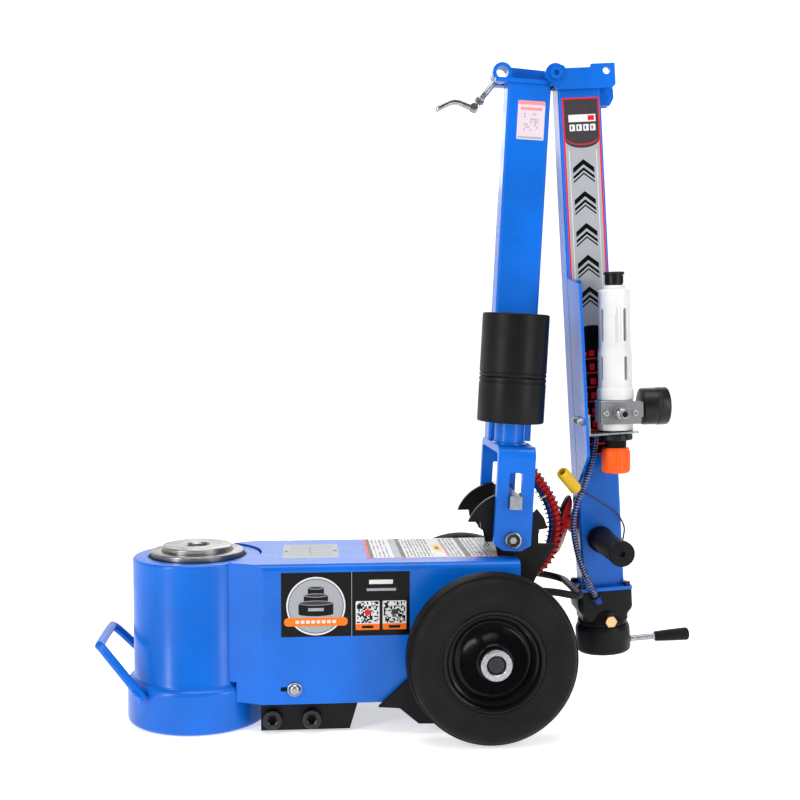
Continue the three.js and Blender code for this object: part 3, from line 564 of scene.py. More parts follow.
def frames_along(path):
    """(share, point, side, up) at each point of a path, with the side turned as little as possible."""
    points = [Vector(p) for p in path]
    total = len(points) - 1
    side = None
    for i, point in enumerate(points):
        way = (points[min(i + 1, total)] - points[max(i - 1, 0)]).normalized()
        if side is None:
            side = way.cross(Vector((0, 0, 1)) if abs(way.z) < 0.9 else Vector((0, 1, 0)))
        side = (side - way * side.dot(way)).normalized()
        yield i / total, point, side, way.cross(side)


def smooth_path(points, steps):
    """A Catmull-Rom curve through the points, with steps between each two."""
    p = [Vector(q) for q in points]
    p = [2 * p[0] - p[1], *p, 2 * p[-1] - p[-2]]
    out = []
    for i in range(1, len(p) - 2):
        for k in range(steps):
            t = k / steps
            a, b, c, d = p[i - 1], p[i], p[i + 1], p[i + 2]
            out.append(0.5 * (2 * b + (c - a) * t + (2 * a - 5 * b + 4 * c - d) * t**2
                + (3 * b - a - 3 * c + d) * t**3))
    out.append(p[-2])
    return out


def helix_round(path, radius, pitch, per_turn):
    """A helix of that radius round a path, as a list of points."""
    fine = list(frames_along(path))
    lengths = [0.0]
    for a, b in zip(fine, fine[1:]):
        lengths.append(lengths[-1] + (b[1] - a[1]).length)
    count = int(lengths[-1] / pitch * per_turn)
    out, i = [], 0
    for k in range(count + 1):
        at = lengths[-1] * k / count
        while i < len(fine) - 2 and lengths[i + 1] < at:
            i += 1
        t = (at - lengths[i]) / max(lengths[i + 1] - lengths[i], 1e-9)
        a, b = fine[i], fine[i + 1]
        angle = TAU * k / per_turn
        centre, side, up = a[1].lerp(b[1], t), a[2].lerp(b[2], t), a[3].lerp(b[3], t)
        out.append(centre + (side * cos(angle) + up * sin(angle)) * radius)
    return out


def arc(cx, cz, r, start, end, steps=8):
    """Points of an arc for a profile, angles in degrees from +radius towards +height."""
    out = []
    for k in range(steps + 1):
        a = radians(start + (end - start) * k / steps)
        out.append((cx + r * cos(a), cz + r * sin(a)))
    return out


def oval(cx, cz, rx, rz, start, end, steps):
    """Points of an elliptical arc, angles in half turns."""
    angles = [(start + (end - start) * k / steps) * pi for k in range(steps + 1)]
    return [(cx + rx * cos(a), cz + rz * sin(a)) for a in angles]


def hexagon(across):
    """The radius of a hexagon as a function of the angle."""
    half = pi / 6
    return lambda a: across / 2 / cos((a % (2 * half)) - half)


def rounded(x0, x1, y0, y1, r, steps=5):
    """Outline of a rectangle with round corners."""
    out = []
    corners = ((x1 - r, y0 + r, -90), (x1 - r, y1 - r, 0), (x0 + r, y1 - r, 90), (x0 + r, y0 + r, 180))
    for cx, cy, a in corners:
        out += arc(cx, cy, r, a, a + 90, steps)
    return out


def piece(name, body, shape, materials, replaces=None, at=BASE, angle=32, bevel=0.0, slot=None):
    """Makes one visible piece from a Shape. materials is keys of M as words, bevel is in millimetres."""
    keys = materials.split()
    slot = slot or SLOTS.get(keys[0])
    mesh = bpy.data.meshes.new(name)
    mesh.from_pydata([at @ p for p in shape.points], [], shape.faces)
    for key in keys:
        mesh.materials.append(M[key])
    mesh.polygons.foreach_set("material_index", shape.numbers)
    mesh.validate()
    obj = bpy.data.objects.new(name, mesh)
    scene.collection.objects.link(obj)
    finish_edges(obj, angle, bevel)
    if body:
        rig.ride(obj, body)
    if slot:
        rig.slot(obj, slot)
    if replaces:
        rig.replaces(obj, replaces)
    return obj


def finish_edges(obj, angle, bevel):
    obj.data.shade_smooth()
    obj.data.set_sharp_from_angle(angle=radians(angle))
    if bevel:
        made = obj.modifiers.new("bevel", "BEVEL")
        made.width = bevel * MM
        made.segments = 2
        made.limit_method = "ANGLE"
        made.angle_limit = radians(angle)
        made.harden_normals = True


def dress(names, key, angle=32, bevel=0.0):
    """Gives CAD nodes that stay in view their material and their edges."""
    for name in names.split():
        obj = nodes[name]
        obj.data.materials.clear()
        obj.data.materials.append(M[key])
        finish_edges(obj, angle, bevel)
        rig.slot(obj, SLOTS[key])


def along_x(x=0.0, y=0.0, z=0.0):
    """Turns a shape made about Z to point along +X."""
    return move(x, y, z) @ turn("Y", 90)


def along_y(side, x=0.0, y=0.0, z=0.0):
    """Turns a shape made about Z to point along -Y (side -1) or +Y (side 1)."""
    return move(x, y, z) @ Matrix.Rotation(-side * pi / 2, 4, "X")


# ---- hydraulic cylinder
def hydraulic_cylinder():
    body = Shape().turned([(0, 0), (88, 0), (88, 7, 7, -90, 0, 6), (86, 51, 9, 0, 75, 9),
        (87.6, 60.8), (86.6, 61.2), (86, 62.4), (82.5, 217.5, 3.5, 0, 90, 6), (66.6, 221), (66, 220.4),
        (65.8, 213), (63.2, 213), (63.2, 24), (0, 24)], 160)
    piece("cylinder_body", "base", body, "blue", "base_cylinder")
    seal = Shape().turned([(63.0, 213.4), (65.4, 213.4), (65.4, 220.4), (64.3, 220.6, 1.1, 0, 150, 6),
        (63.0, 218.8)], 128)
    piece("ram_wiper_seal", "base", seal, "rubber", "ram_wiper_ring")
    outer = Shape().solid([(62.5, 24.5), (62.5, 226.2), (60.7, 226.2, 1.8, 0, 90, 4), (48.6, 228),
        (47.6, 227), (47.6, 40)], 144)
    piece("outer_ram_tube", "outer_ram", outer, "ram", "ram_outer")
    inner = Shape().solid([(47, 40.4), (47, 233), (45, 233, 2, 0, 90, 4), (32, 235), (31.6, 234.6),
        (31.2, 234.6), (30.8, 235), (17.6, 235), (16, 233.4), (15.2, 232.6), (15.2, 195)], 144)
    inner.solid([(6.2, 195.2), (6.2, 230), (5.6, 231.4), (4.4, 232), (2.2, 230.6)], 36, 1)
    piece("inner_ram_rod", "inner_ram", inner, "ram zinc", "ram_inner")


def mirrored(points):
    return points + [(x, -y, z) for x, y, z in reversed(points)]


def carry_loop():
    path = smooth_path(mirrored([(-64, -79, 46), (-92, -69, 78), (-115, -60, 104), (-122, -54, 111),
        (-124, -45, 112)]), 8)
    loop = Shape().sweep(path, 6, 28)
    for side in (-1, 1):
        bead = move(-71.5, side * 77, 54.5) @ turn("Y", 38)
        loop.turned([(0, -6), (7.4, -1.5, 2.2, -90, 90, 8), (0, 3)], 32, 0, bead)
    piece("carry_loop_rod", "base", loop, "blue", "front_loop")


# ---- body
def socket_screw(name, x, side):
    """Socket-head cap screw in a side bar."""
    hexes = hexagon(11)
    screw = Shape().turned([(0, 60), (7.9, 60), (7.9, 85.4), (12.3, 85.4), (12.5, 85.8), (12.5, 94.2),
        (11.1, 94.4, 1.4, 0, 90, 4), (8.2, 95.8), (7.3, 94.9), (hexes, 94.0), (hexes, 88.5), (0, 87.2)], 96,
        0, along_y(side, x, 0, BAR_SCREW_Z))

    # The hex socket's inner faces take the near-black recess colour: painted shade inside the socket.
    def in_socket(face):
        corners = [screw.points[i] for i in face]
        deep = sum(abs(p.y) for p in corners) / len(corners) < 94.3
        return deep and max(Vector((p.x - x, p.z - BAR_SCREW_Z)).length for p in corners) < 7.2

    screw.numbers = [1 if in_socket(f) else n for f, n in zip(screw.faces, screw.numbers)]
    row = {102: 1, 153: 2}[x]
    word = "near" if side < 0 else "far"
    piece(name, "base", screw, "oxide dark", f"bar_screw_{word}_{row}")


def cover_bolt(name, side, replaced=None):
    bolt = Shape().turned([(0, 76), (4, 76), (4, 95.3), (9.2, 95.3), (9.4, 95.7), (9.2, 97.2), (8.2, 97.6),
        (7.6, 98.4), (2.2, 97.6, 5.6, 8, 90, 10), (0, 103.2)], 64, 0, along_y(side, 131, 0, 60))
    piece(name, "base", bolt, "zinc", replaced)


def quadrants():
    """Two plates with a forward hook and a notch that holds the latch bar upright."""
    def polar(r, a):
        return r * sin(radians(a)), r * cos(radians(a))

    outline = [polar(QUADRANT_R, a) for a in range(-69, -5, 3)]
    lean = radians(LOWER_LEAN)
    for x, z in ((-9, 60.3), (-9, 40.8), (9, 40.8), (9, 60.3)):
        outline.append((x * cos(lean) + z * sin(lean), z * cos(lean) - x * sin(lean)))
    outline += [polar(QUADRANT_R, a) for a in (12, 15, 18)]
    outline += [polar(40.3, 21), polar(40.3, 44), polar(52.5, 44), polar(52.5, 60)]
    outline += [(50.5, 12), (38, 10), (38, -8.5), (62, -10), (36, -52), (22, -84), (16, -130), (-14, -130),
        (-16, -30), (-20, -9), (-40, 13), (-41, 22)]
    for side, word in SIDES:
        at = move(PIVOT_X, QUADRANT_Y * side, PIVOT_Z) @ turn("X", 90)
        plate = Shape().prism(outline, -4, 4, 0, at)
        piece(f"notched_plate_{word}", "base", plate, "black", f"quadrant_plate_{word}", bevel=0.6)


def body():
    dress("body_cover", "blue", 40)
    dress("side_bar_near side_bar_far axle_plate_near axle_plate_far", "black", 30, 0.7)
    quadrants()
    dress("pump_block", "iron", 30, 1.0)
    dress("air_motor", "aluminium", 30, 1.0)
    for side, word in SIDES:
        for x in (102, 153):
            socket_screw(f"socket_screw_{word}_{x}", x, side)
    cover_bolt("cover_dome_bolt_near", -1, "cover_bolt_near")
    cover_bolt("cover_dome_bolt_far", 1)
    path = smooth_path(mirrored([(441, -64, 178), (480, -64, 174), (505, -63, 169), (515, -54, 167),
        (517, -40, 167)]), 8)
    loop = Shape().sweep(path, 5, 24)
    piece("rest_loop_rod", "base", loop, "black", "rest_loop")


def pivot_bolt():
    pin = Shape().solid([(8, -75.2), (8, 75.2)], 48, 0, along_y(1, PIVOT_X, 0, PIVOT_Z))
    hexes = hexagon(8.4)
    for side in (-1, 1):
        at = along_y(side, PIVOT_X, 0, PIVOT_Z)
        pin.solid([(10.9, 74.2), (10.9, 79.8), (10.6, 80.6), (9.6, 81.2), (9.0, 81.2), (8.6, 80.4)], 72, 1,
            at)
        pin.solid([(8.5, 80), (8.5, 81), (8.1, 81.4), (5.4, 81.4), (hexes, 81.0), (hexes, 77)], 72, 0, at)
    piece("pivot_socket_bolt", "base", pin, "oxide zinc", "pivot_pin")


# ---- wheels
def wheels():
    for side, word in SIDES:
        at = along_y(side, AXLE_X, 0, AXLE_Z)
        tyre = Shape().turned([(66, 125), (70, 122.6), (88, 121), (92, 134, 13.2, -80, -22, 6), (107.6, 133),
            (109.4, 140), (110, 143), (110, 145.4), (108.6, 146), (108.6, 147.4), (110, 148), (110, 150.4),
            (109.4, 156), (107.8, 161.4), (108.4, 162.2), (108.2, 163.2), (107.0, 163.4),
            (93, 162, 13.4, 6, 82, 9), (91, 175.6), (84, 175.4), (78, 173.8), (72, 171.8), (70.4, 171.9),
            (69.8, 171.3), (66, 171)], 180, 0, at)
        piece(f"tyre_{word}", f"wheel_{word}", tyre, "tyre", f"wheel_{word}_tyre")
        rim = Shape().turned([(11.5, 122), (24, 122), (24, 142), (52, 142), (56, 128), (65.7, 128),
            (65.7, 169.6), (64.3, 169.6, 1.4, 0, 90, 4), (62.0, 170.8), (60.2, 169.6), (59.2, 165.2),
            (57.4, 162.6), (54.8, 161.6), (53.0, 162.2), (51.4, 160.6), (50.6, 155.2), (48.2, 152.4),
            (45.4, 152.4), (41.6, 154.4), (36.4, 158.2), (31.6, 162.6), (27.8, 166.8), (25.2, 170.6),
            (23.8, 173.2), (22.8, 174), (19.8, 174), (19.2, 173.2), (11.5, 173.2)], 144, 0, at)
        piece(f"rim_{word}", f"wheel_{word}", rim, "rim", f"wheel_{word}_rim")
        collar = Shape().turned([(11.4, 175), (19.0, 175), (19.0, 177), (20, 177.4), (20, 184.2),
            (18.2, 184.2, 1.8, 0, 90, 4), (13.2, 186), (12.2, 185.2), (11.4, 183.6)], 80, 0, at)
        piece(f"axle_collar_{word}", "base", collar, "zinc", f"wheel_{word}_axle_collar")
    rod = Shape().solid([(10, -183), (11, -182), (11, 182), (10, 183)], 48, 0, along_y(1, AXLE_X, 0, AXLE_Z))
    piece("axle_rod", "base", rod, "oxide", "axle")


# ---- lower handle
POST = (-6, -38)


def lower_handle():
    dress("fork", "blue", 35, 0.8)
    dress("lower_tube", "blue", 40)
    dress("lower_hinge_bracket hinge_pin", "blue", 35, 0.5)
    dress("latch_bar", "zinc", 35, 0.9)
    on_post = move(*POST, 0)
    post = Shape().solid([(24, 124.4), (23.6, 126.0), (21.4, 127.2), (20.2, 129.6), (20, 132), (20, 172),
        (16, 172), (16, 285), (14, 288)], 72, 0, on_post)
    piece("post_rod", "lower_handle", post, "blue", "adapter_post", LOWER)
    ring = Shape().turned([(20.5, 154), (42.4, 154), (42.6, 156.4, 2.4, -90, 0, 4), (45, 207), (44.2, 207.6),
        (44.2, 209), (45, 209.6), (43.6, 213.2, 1.4, 0, 90, 4), (16.6, 214.6), (16.6, 172.4), (20.5, 172.4)],
        112, 0, on_post)
    piece("lifting_adapter_low", "lower_adapter", ring, "black", "adapter_lower", LOWER)
    cap = Shape().turned([(0, 289), (16.6, 289), (16.6, 215.1), (43.4, 215.1), (43.4, 216.7, 1.6, -90, 0, 4),
        (45, 219), (44.3, 219.6), (44.3, 220.8), (45, 221.4), (42.4, 297.4, 2.6, 0, 90, 5), (0, 300)], 112, 0,
        on_post)
    piece("lifting_adapter_top", "upper_adapter", cap, "black", "adapter_upper", LOWER)


BOLT_ANGLE, CAM_REACH = 54.6, 60.0


def clamp():
    """The swing bolt and its cam lever, made pointing along -X from the eye, then turned."""
    at = move(-33, 38, 632) @ turn("Y", -BOLT_ANGLE)
    bolt = Shape()
    bolt.turned([(10.8, -6.4), (13, -6.4), (13.6, -5.6), (13.6, 5.6), (13, 6.4), (10.8, 6.4)], 56, 0,
        at @ along_y(1))

    def thread(z):
        return 3.9 if int(z * 2.5) % 2 else 3.35

    shank = [(0, 11), (3.6, 11), (4, 12), (4, 35.8)]
    shank += [(thread(z / 4), z / 4) for z in range(144, 184)] + [(3.6, 46.5), (3.6, 52), (0, 52)]
    bolt.turned(shank, 28, 0, at @ turn("Y", -90))
    hexes = hexagon(10.8)
    away = at @ turn("Y", -90)
    bolt.solid([(6.3, 45.2), (6.5, 45.6), (6.5, 46.4)], 40, 0, away)
    bolt.turned([(0, 46.2), (hexes, 46.3), (hexes, 51.2), (4.4, 51.6), (0, 51.6)], 48, 0, away)
    bolt.box(-60, -51, -2, 2, -4, 4, 0, at)
    bolt.solid([(4.6, -2), (5, -1.6), (5, 1.6), (4.6, 2)], 40, 0, at @ along_y(1, -CAM_REACH))
    piece("swing_bolt_rod", "swing_bolt", bolt, "zinc", "swing_bolt", LOWER)

    lever = Shape()
    cam = at @ move(-CAM_REACH, 0, 0)
    for side in (-1, 1):
        lever.solid([(6.2, 2.3), (6.5, 2.7), (6.5, 6.1), (6.1, 6.5), (3.4, 6.5), (3.2, 6.2)], 48, 0,
            cam @ along_y(side))
    level = cam @ turn("Y", BOLT_ANGLE)
    line = [((-6.2, 0.6), 5, 6.4), ((-10, 1.8), 5, 6.2), ((-16, 4), 4.6, 5.6), ((-23, 6.2), 4.3, 5.2),
        ((-30, 6.2), 4.2, 5), ((-37, 3.4), 4.3, 5), ((-44, -0.6), 4.6, 5.2), ((-49.5, -4.2), 4.9, 5.2),
        ((-52.6, -5.6), 3.6, 4), ((-54, -6.2), 1.4, 1.8)]
    rows = []
    for (x, z), high, wide in line:
        row = []
        for j in range(28):
            a = TAU * j / 28
            c, s = cos(a), sin(a)
            row.append((x, wide * abs(c) ** 0.7 * (1 if c > 0 else -1),
                z + high * abs(s) ** 0.7 * (1 if s > 0 else -1)))
        rows.append(row)
    lever.grid(rows, 0, level, closed=False)
    piece("cam_lever_casting", "cam_lever", lever, "chrome", "cam_lever", LOWER, angle=50)


# ---- upper handle
def upper_handle():
    dress("upper_hinge_bracket air_unit_bracket", "blue", 35, 0.6)
    dress("upper_tube", "blue", 40)
    dress("air_unit_shelf", "zinc", 30, 0.4)
    nuts = Shape()
    for y in (-5, -37):
        nuts.turned([(0, -3.2), (hexagon(9.4), -3.2), (hexagon(9.4), 0.2), (4.2, 0.8),
            (0.2, 0.8, 3.9, 8, 88, 8), (0, 4.7)], 42, 0, move(0.6, y, -476.5) @ turn("Y", -90))
    piece("shelf_dome_nuts", "upper_handle", nuts, "zinc", at=UPPER)
    screws = Shape()
    for x, y in ((0.5, 10.5), (65, 10.5), (0.5, 57.5), (65, 57.5)):
        screws.solid([(4.9, -716.2), (5.1, -715.8), (5.1, -711.2), (4.5, -710.6), (3.0, -710.6),
            (hexagon(4.6), -710.9), (hexagon(4.6), -713.6)], 48, 0, move(x, y, 0))
    piece("head_flange_screws", "upper_handle", screws, "oxide", at=UPPER)


AIR = UPPER @ move(51.5, -21, -493.5) @ turn("Y", AIR_LEAN)


def slotted_bowl():
    """White bowl guard: a turned shell with eight long slots cut through it."""
    outer = [(24.8, 43.8), (24.8, 57), (24.0, 58.6), (23.1, 59.8), (23.0, 104), (22.6, 108.4), (21.9, 111.4),
        (21.7, 116), (21.6, 187)] + arc(17.0, 189.4, 4.6, 0, 80, 6) + [(15.2, 194.6), (15, 198.4),
        (14.4, 199)]
    inner = [(11.8, 199), (11.8, 180), (15, 176), (15, 43.8)]
    shell = piece("bowl_guard_shell", None, Shape().turned(outer + inner, 96), "white", at=AIR)
    cutter = Shape()
    for azimuth in (25, 115, 205, 295):
        for a, b in ((70, 103), (123, 168)):
            outline = rounded(-2.5, 2.5, a, b, 2.4, 5)
            at = turn("Z", azimuth) @ turn("Y", 90) @ turn("Z", 90)
            cutter.prism(outline, 12.5, 30, 0, at)
    tool = piece("bowl_slot_cutter", None, cutter, "white", at=AIR)
    cut = shell.modifiers.new("slots", "BOOLEAN")
    cut.object = tool
    cut.solver = "EXACT"
    bpy.context.view_layer.update()
    mesh = bpy.data.meshes.new_from_object(shell.evaluated_get(bpy.context.evaluated_depsgraph_get()))
    shell.modifiers.clear()
    shell.data = mesh
    bpy.data.objects.remove(tool)
    finish_edges(shell, 32, 0)
    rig.ride(shell, "upper_handle")
    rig.slot(shell, "white_plastic")
    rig.replaces(shell, "bowl_guard")
    # A near-black cylinder just inside the guard: painted shade seen through the slots.
    inner_shade = Shape().solid([(14.4, 46), (14.6, 48), (14.6, 173), (11, 178)], 64)
    piece("bowl_inner_shade", "upper_handle", inner_shade, "dark", at=AIR, slot="black_plastic")


def air_unit():
    slotted_bowl()
    cap = Shape().solid([(11.2, 178.2), (11.2, 199.6), (11.9, 200.4), (12.1, 212.8), (13.8, 213.6),
        (14, 214.2), (14, 216.6), (13.4, 217.4), (8.8, 217.4), (8.4, 216.6), (7.8, 215.4)], 64)
    for n in range(24):
        cap.box(11.7, 12.5, -0.5, 0.5, 202, 212, 0, turn("Z", 15 * n))
    piece("bowl_drain_cap", "upper_handle", cap, "black_plastic", "bowl_cap", AIR)
    body = Shape().solid([(23.2, 1.5), (24, 2.4), (24, 42.4), (23.4, 43.2)], 96)
    body.prism(rounded(-24, 14, -21.4, 22, 3), 11, 42)
    # The stem, seen only in the gaps by the knob and ring nut, takes the near-black recess colour: painted shade.
    body.solid([(14.4, -22), (14.4, 1)], 64, 1)
    piece("regulator_housing", "upper_handle", body, "white dark", "regulator_body", AIR, bevel=0.5)
    nut_profile = [(15, -12), (21.6, -12), (22.6, -11), (22.6, -4.8), (21.8, -4), (15, -4)]
    nut = Shape().turned(nut_profile, 96)
    for n in range(12):
        nut.box(22.2, 23.2, -1.6, 1.6, -10.6, -5, 0, turn("Z", 30 * n))
    piece("panel_ring_nut", "upper_handle", nut, "black_plastic", "regulator_ring_nut", AIR)

    def ribbed(base, depth):
        return lambda a: base + depth * max(-1.0, min(1.0, 2.2 * cos(26 * a)))

    knob = Shape().solid([(15.6, -57.6), (17.2, -57.0), (ribbed(18.2, 0.35), -55.6),
        (ribbed(18.9, 0.55), -53), (ribbed(19.0, 0.55), -30), (ribbed(18.6, 0.5), -27.4), (17.6, -25.4),
        (16.8, -24.2), (16.4, -22.6)], 312)
    knob.turned([(16.6, -24.4), (18.6, -24.4), (18.8, -24.0), (18.6, -23.6), (16.6, -23.6)], 96)
    piece("regulator_knob_ribbed", "regulator_knob", knob, "orange", "regulator_knob", AIR)

    plate = Shape().prism(rounded(-27, 29, 11, 42, 1.6), 22.2, 25.8, 0, turn("X", 90))
    plate.box(25, 33, -22.4, -14, 20, 40)
    plate.solid([(9.2, 0), (9.2, 1.2), (8.4, 2.0), (7.2, 2.2)], 56, 0, along_y(-1, 0, -25.8, 26))
    piece("port_plate_casting", "upper_handle", plate, "aluminium", "port_plate", AIR, bevel=0.4)
    screws = Shape()
    for x in (-19, 21):
        screws.solid([(3.9, -0.5), (4.1, 0.2), (4.0, 1.8), (3.2, 2.5), (2.3, 2.7), (hexagon(3.4), 2.4),
            (hexagon(3.4), 0.8)], 48, 0, along_y(-1, x, -25.8, 26))
    piece("port_plate_screws", "upper_handle", screws, "zinc", at=AIR)
    nipple = Shape().solid([(hexagon(13.6), 1), (hexagon(13.6), 6.4), (6.0, 7.0), (4.4, 8.0), (4.4, 13.6),
        (5.6, 15.0), (6.4, 16.2), (6.4, 17.4), (5.5, 18.2), (5.5, 19.4), (6.2, 20.2), (6.2, 23.2), (5.6, 24),
        (4.2, 24), (3.6, 23.2), (3.6, 12)], 72, 0, along_y(-1, 0, -26.3, 26))
    # A near-black rod fills the bore: painted shade in the hole.
    nipple.solid([(3.5, 12.4), (3.5, 22.6)], 32, 1, along_y(-1, 0, -26.3, 26))
    piece("air_inlet_coupling", "upper_handle", nipple, "zinc dark", "inlet_nipple", AIR)
    gauge()


def gauge():
    at = along_x(-2.4, 0, 33)
    case = Shape().solid([(5.2, 35.8), (5.2, 37), (22.0, 37), (24.4, 37.8), (25.4, 39.6), (25.4, 58.4),
        (26, 59.2), (26, 71.4), (25.2, 73.4), (24.2, 74), (23.2, 73.6), (22.6, 72.4), (22.6, 70.4)], 112, 0,
        at)
    case.solid([(22.4, 70.6), (22.4, 71.0)], 96, 1, at)
    for n in range(41):
        a = radians(225 - 270 * n / 40)
        long = n % 5 == 0
        tick = at @ Matrix.Rotation(a, 4, "Z")
        case.box(15.5 if long else 18, 20, -0.35 if long else -0.18, 0.35 if long else 0.18, 71.0, 71.2, 2,
            tick)
    needle = at @ turn("Z", 222)
    case.prism([(-5, -0.9), (0, -1.1), (17, -0.15), (17, 0.15), (0, 1.1), (-5, 0.9)], 71.6, 72.0, 3, needle)
    case.turned([(0, 71.0), (2.4, 71.0), (2.4, 72.4), (0, 72.6)], 32, 2, at)
    piece("gauge_case", "upper_handle", case, "black_plastic ink_white ink_black ink_red", "pressure_gauge",
        AIR)


HEAD = UPPER @ move(33, 34, 0)


def control_head():
    def block(z, half_x, half_y, r):
        return [(x, y, z) for x, y in rounded(-half_x, half_x, -half_y, half_y, r, 6)]

    casting = Shape().grid([block(-721.3, 38.4, 29.4, 7), block(-722, 39, 30, 8), block(-745, 39, 30, 8),
        block(-749, 38, 29.6, 8), block(-755, 33.6, 28, 9), block(-758, 32.4, 27.4, 9),
        block(-764, 32.4, 27.4, 9)], 0, None, closed=False)
    casting.turned([(0, -772), (34.2, -772), (35, -771.2), (35, -765.6), (34, -764), (31.6, -759),
        (30.8, -752), (0, -751)], 112)
    piece("control_casting", "upper_handle", casting, "black", "control_block", HEAD, bevel=0.6)
    disc = Shape().solid([(31, -812), (34.4, -811.2), (32.5, -806, 6, -60, 0, 5), (38.5, -780), (38.1, -777),
        (37.2, -774.6), (36, -772.5)], 128)
    disc.solid([(7, 30), (7, 37.4), (6.2, 39)], 48, 0, along_x(0, 0, LEVER_W))
    piece("control_cover", "control_head", disc, "black", "control_disc", HEAD)
    lever = Shape().solid([(4.4, 34), (4.4, 78)], 40, 0, along_x(0, 0, LEVER_W))
    lever.turned([(0, 75.2), (5.6, 75.2), (6.8, 75.8), (7.1, 77.4), (8.4, 100), (8.9, 116),
        (4.9, 121, 4.2, 0, 85, 8), (0, 125.6)], 56, 1, along_x(0, 0, LEVER_W))
    piece("control_lever_rod", "control_head", lever, "zinc rubber", "control_lever", HEAD)
    hexes = hexagon(15.2)
    plug = Shape().turned([(0, 35), (6.4, 35), (hexes, 35.6), (hexes, 40.8), (7.3, 41.7), (0, 41.9)], 72, 0,
        along_y(-1, 3, 0, PLUG_W))
    plug.solid([(5.4, 26), (5.4, 35.6)], 36, 0, along_y(-1, 3, 0, PLUG_W))
    piece("hex_plug", "upper_handle", plug, "brass", "brass_plug", HEAD, bevel=0.25)


def grips():
    for side, word, start in ((-1, "near", -17.7), (1, "far", 58.3)):
        d = start if side > 0 else -17.7
        profile = [(0, 0.2), (17.6, 0.2), (18.5, 1.2), (18.5, 8.6), (17.6, 10.4), (16.6, 12.6)]
        z = 15.0
        while z < 103:
            profile += [(16.7, z), (16.7, z + 4.0), (16.35, z + 4.5), (16.35, z + 5.3)]
            z += 6.0
        profile += [(16.7, 104), (17.0, 106.4), (17.5, 108)] + arc(14.6, 115, 2.9, 0, 85, 6)
        profile += [(4.2, 117.9), (3.4, 116.4), (2.6, 113), (0, 113)]
        shape = Shape().turned([(r, d + h) for r, h in profile], 88, 0, along_y(side, 32, 0, -649))
        piece(f"hand_grip_{word}", "upper_handle", shape, "rubber", f"grip_{word}", UPPER)


def buffer():
    at = move(-15, 42, -630) @ turn("Z", -22) @ turn("Y", -74)
    disc = Shape().solid([(20, -5), (30, -4.6), (38, -3), (41, -1.2), (41, 0)], 96, 1, at)
    disc.solid([(41.4, -0.6), (43.4, 0.2), (44, 1.4), (43.4, 4), (41.6, 5.8), (37, 6.8), (20, 7), (18.6, 6.4),
        (9, 6.4), (8, 5.8)], 96, 0, at)
    disc.sweep([(-14, 42, -626), (-5, 42, -626), (3.6, 42, -626)], 11, 40, 1)
    piece("rubber_buffer", "upper_handle", disc, "rubber red_disc", "rest_buffer", UPPER)


# ---- hoses
def path_length(points):
    return sum((Vector(b) - Vector(a)).length for a, b in zip(points, points[1:]))


def laid(at, path, end=0):
    world = [tuple(at @ Vector(p)) for p in path]
    return {"exit": world[end], "length": round(path_length(world), 3), "path": world}


def offset_path(path, side_shift, up_shift):
    return [p + s * side_shift + u * up_shift for _, p, s, u in frames_along(path)]


def hose_bundle():
    """A corrugated red hose and a blue one in a black spiral guard, from the body up into the fork."""
    route = [(428, 6, 352), (450, 4, 336), (470, 2, 312), (485, 0, 286), (492, 0, 260), (489, 0, 231),
        (478, 0, 206), (460, 0, 190), (440, 0, 182)]
    path = smooth_path(route, 34)
    total = path_length(path)
    shape = Shape()

    def corrugated(share):
        return 5.5 + 0.75 * sin(share * total / 4.4 * TAU)

    shape.sweep(offset_path(path, -0.6, -3.2), corrugated, 26, 0)
    shape.sweep(offset_path(path, 0.6, 4.4), 3.7, 18, 1)
    shape.sweep(helix_round(path, 9.6, 7.2, 18), 0.9, 8, 2)
    shape.sweep(helix_round(path, 10.7, 7.2, 18), 0.8, 8, 2)
    shape.sweep(helix_round(path[88:91], 9.9, 2.2, 40), 1.0, 8, 3)
    made = piece("handle_hoses", None, shape, "red_hose blue_hose black_plastic white_tie", "hose_bundle",
        angle=60)
    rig.blend(made, "base", "lower_handle", start=(0.470, 0, 0.210), end=(0.434, 0, 0.345))
    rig.cord(made, **laid(BASE, path), diameter=0.022, far_end="object", stiffness="stiff", lay="loose")


def spring_hose():
    """Thin blue hose with a steel spring round it, from the air unit down to the control head."""
    route = [(29, 0, -497.5), (25, -1, -520), (16, -3, -548), (5, -6, -572), (-6, -11, -594),
        (-11.5, -13, -614), (-11.7, -13.5, -640), (-4.3, -10, -675), (7.3, -7, -705), (19.3, -3, -731)]
    path = smooth_path(route, 14)
    shape = Shape().sweep(path, 3.5, 16, 0)
    shape.sweep(helix_round(path, 4.3, 3.9, 12), 0.62, 6, 1)
    made = piece("spring_hose", "upper_handle", shape, "blue_hose zinc", "air_hose", UPPER, angle=60)
    collar = Shape()
    end, before = Vector(route[-1]), Vector(route[-2])
    at = Matrix.Translation(end) @ (end - before).to_track_quat("Z", "Y").to_matrix().to_4x4()
    collar.solid([(6.6, -5), (7.2, -4.4), (7.2, -2.6), (6.4, -2), (5.2, -2), (5.2, 5)], 48, 0, at)
    collar.solid([(4.6, -8), (5.0, -7), (5.0, -5)], 36, 1, at)
    fitting = piece("hose_push_fitting", "upper_handle", collar, "blue_hose black_plastic", at=UPPER)
    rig.cord(made, **laid(UPPER, path), diameter=0.009, far_end="object", stiffness="stiff", lay="loose",
        with_pieces=[fitting])


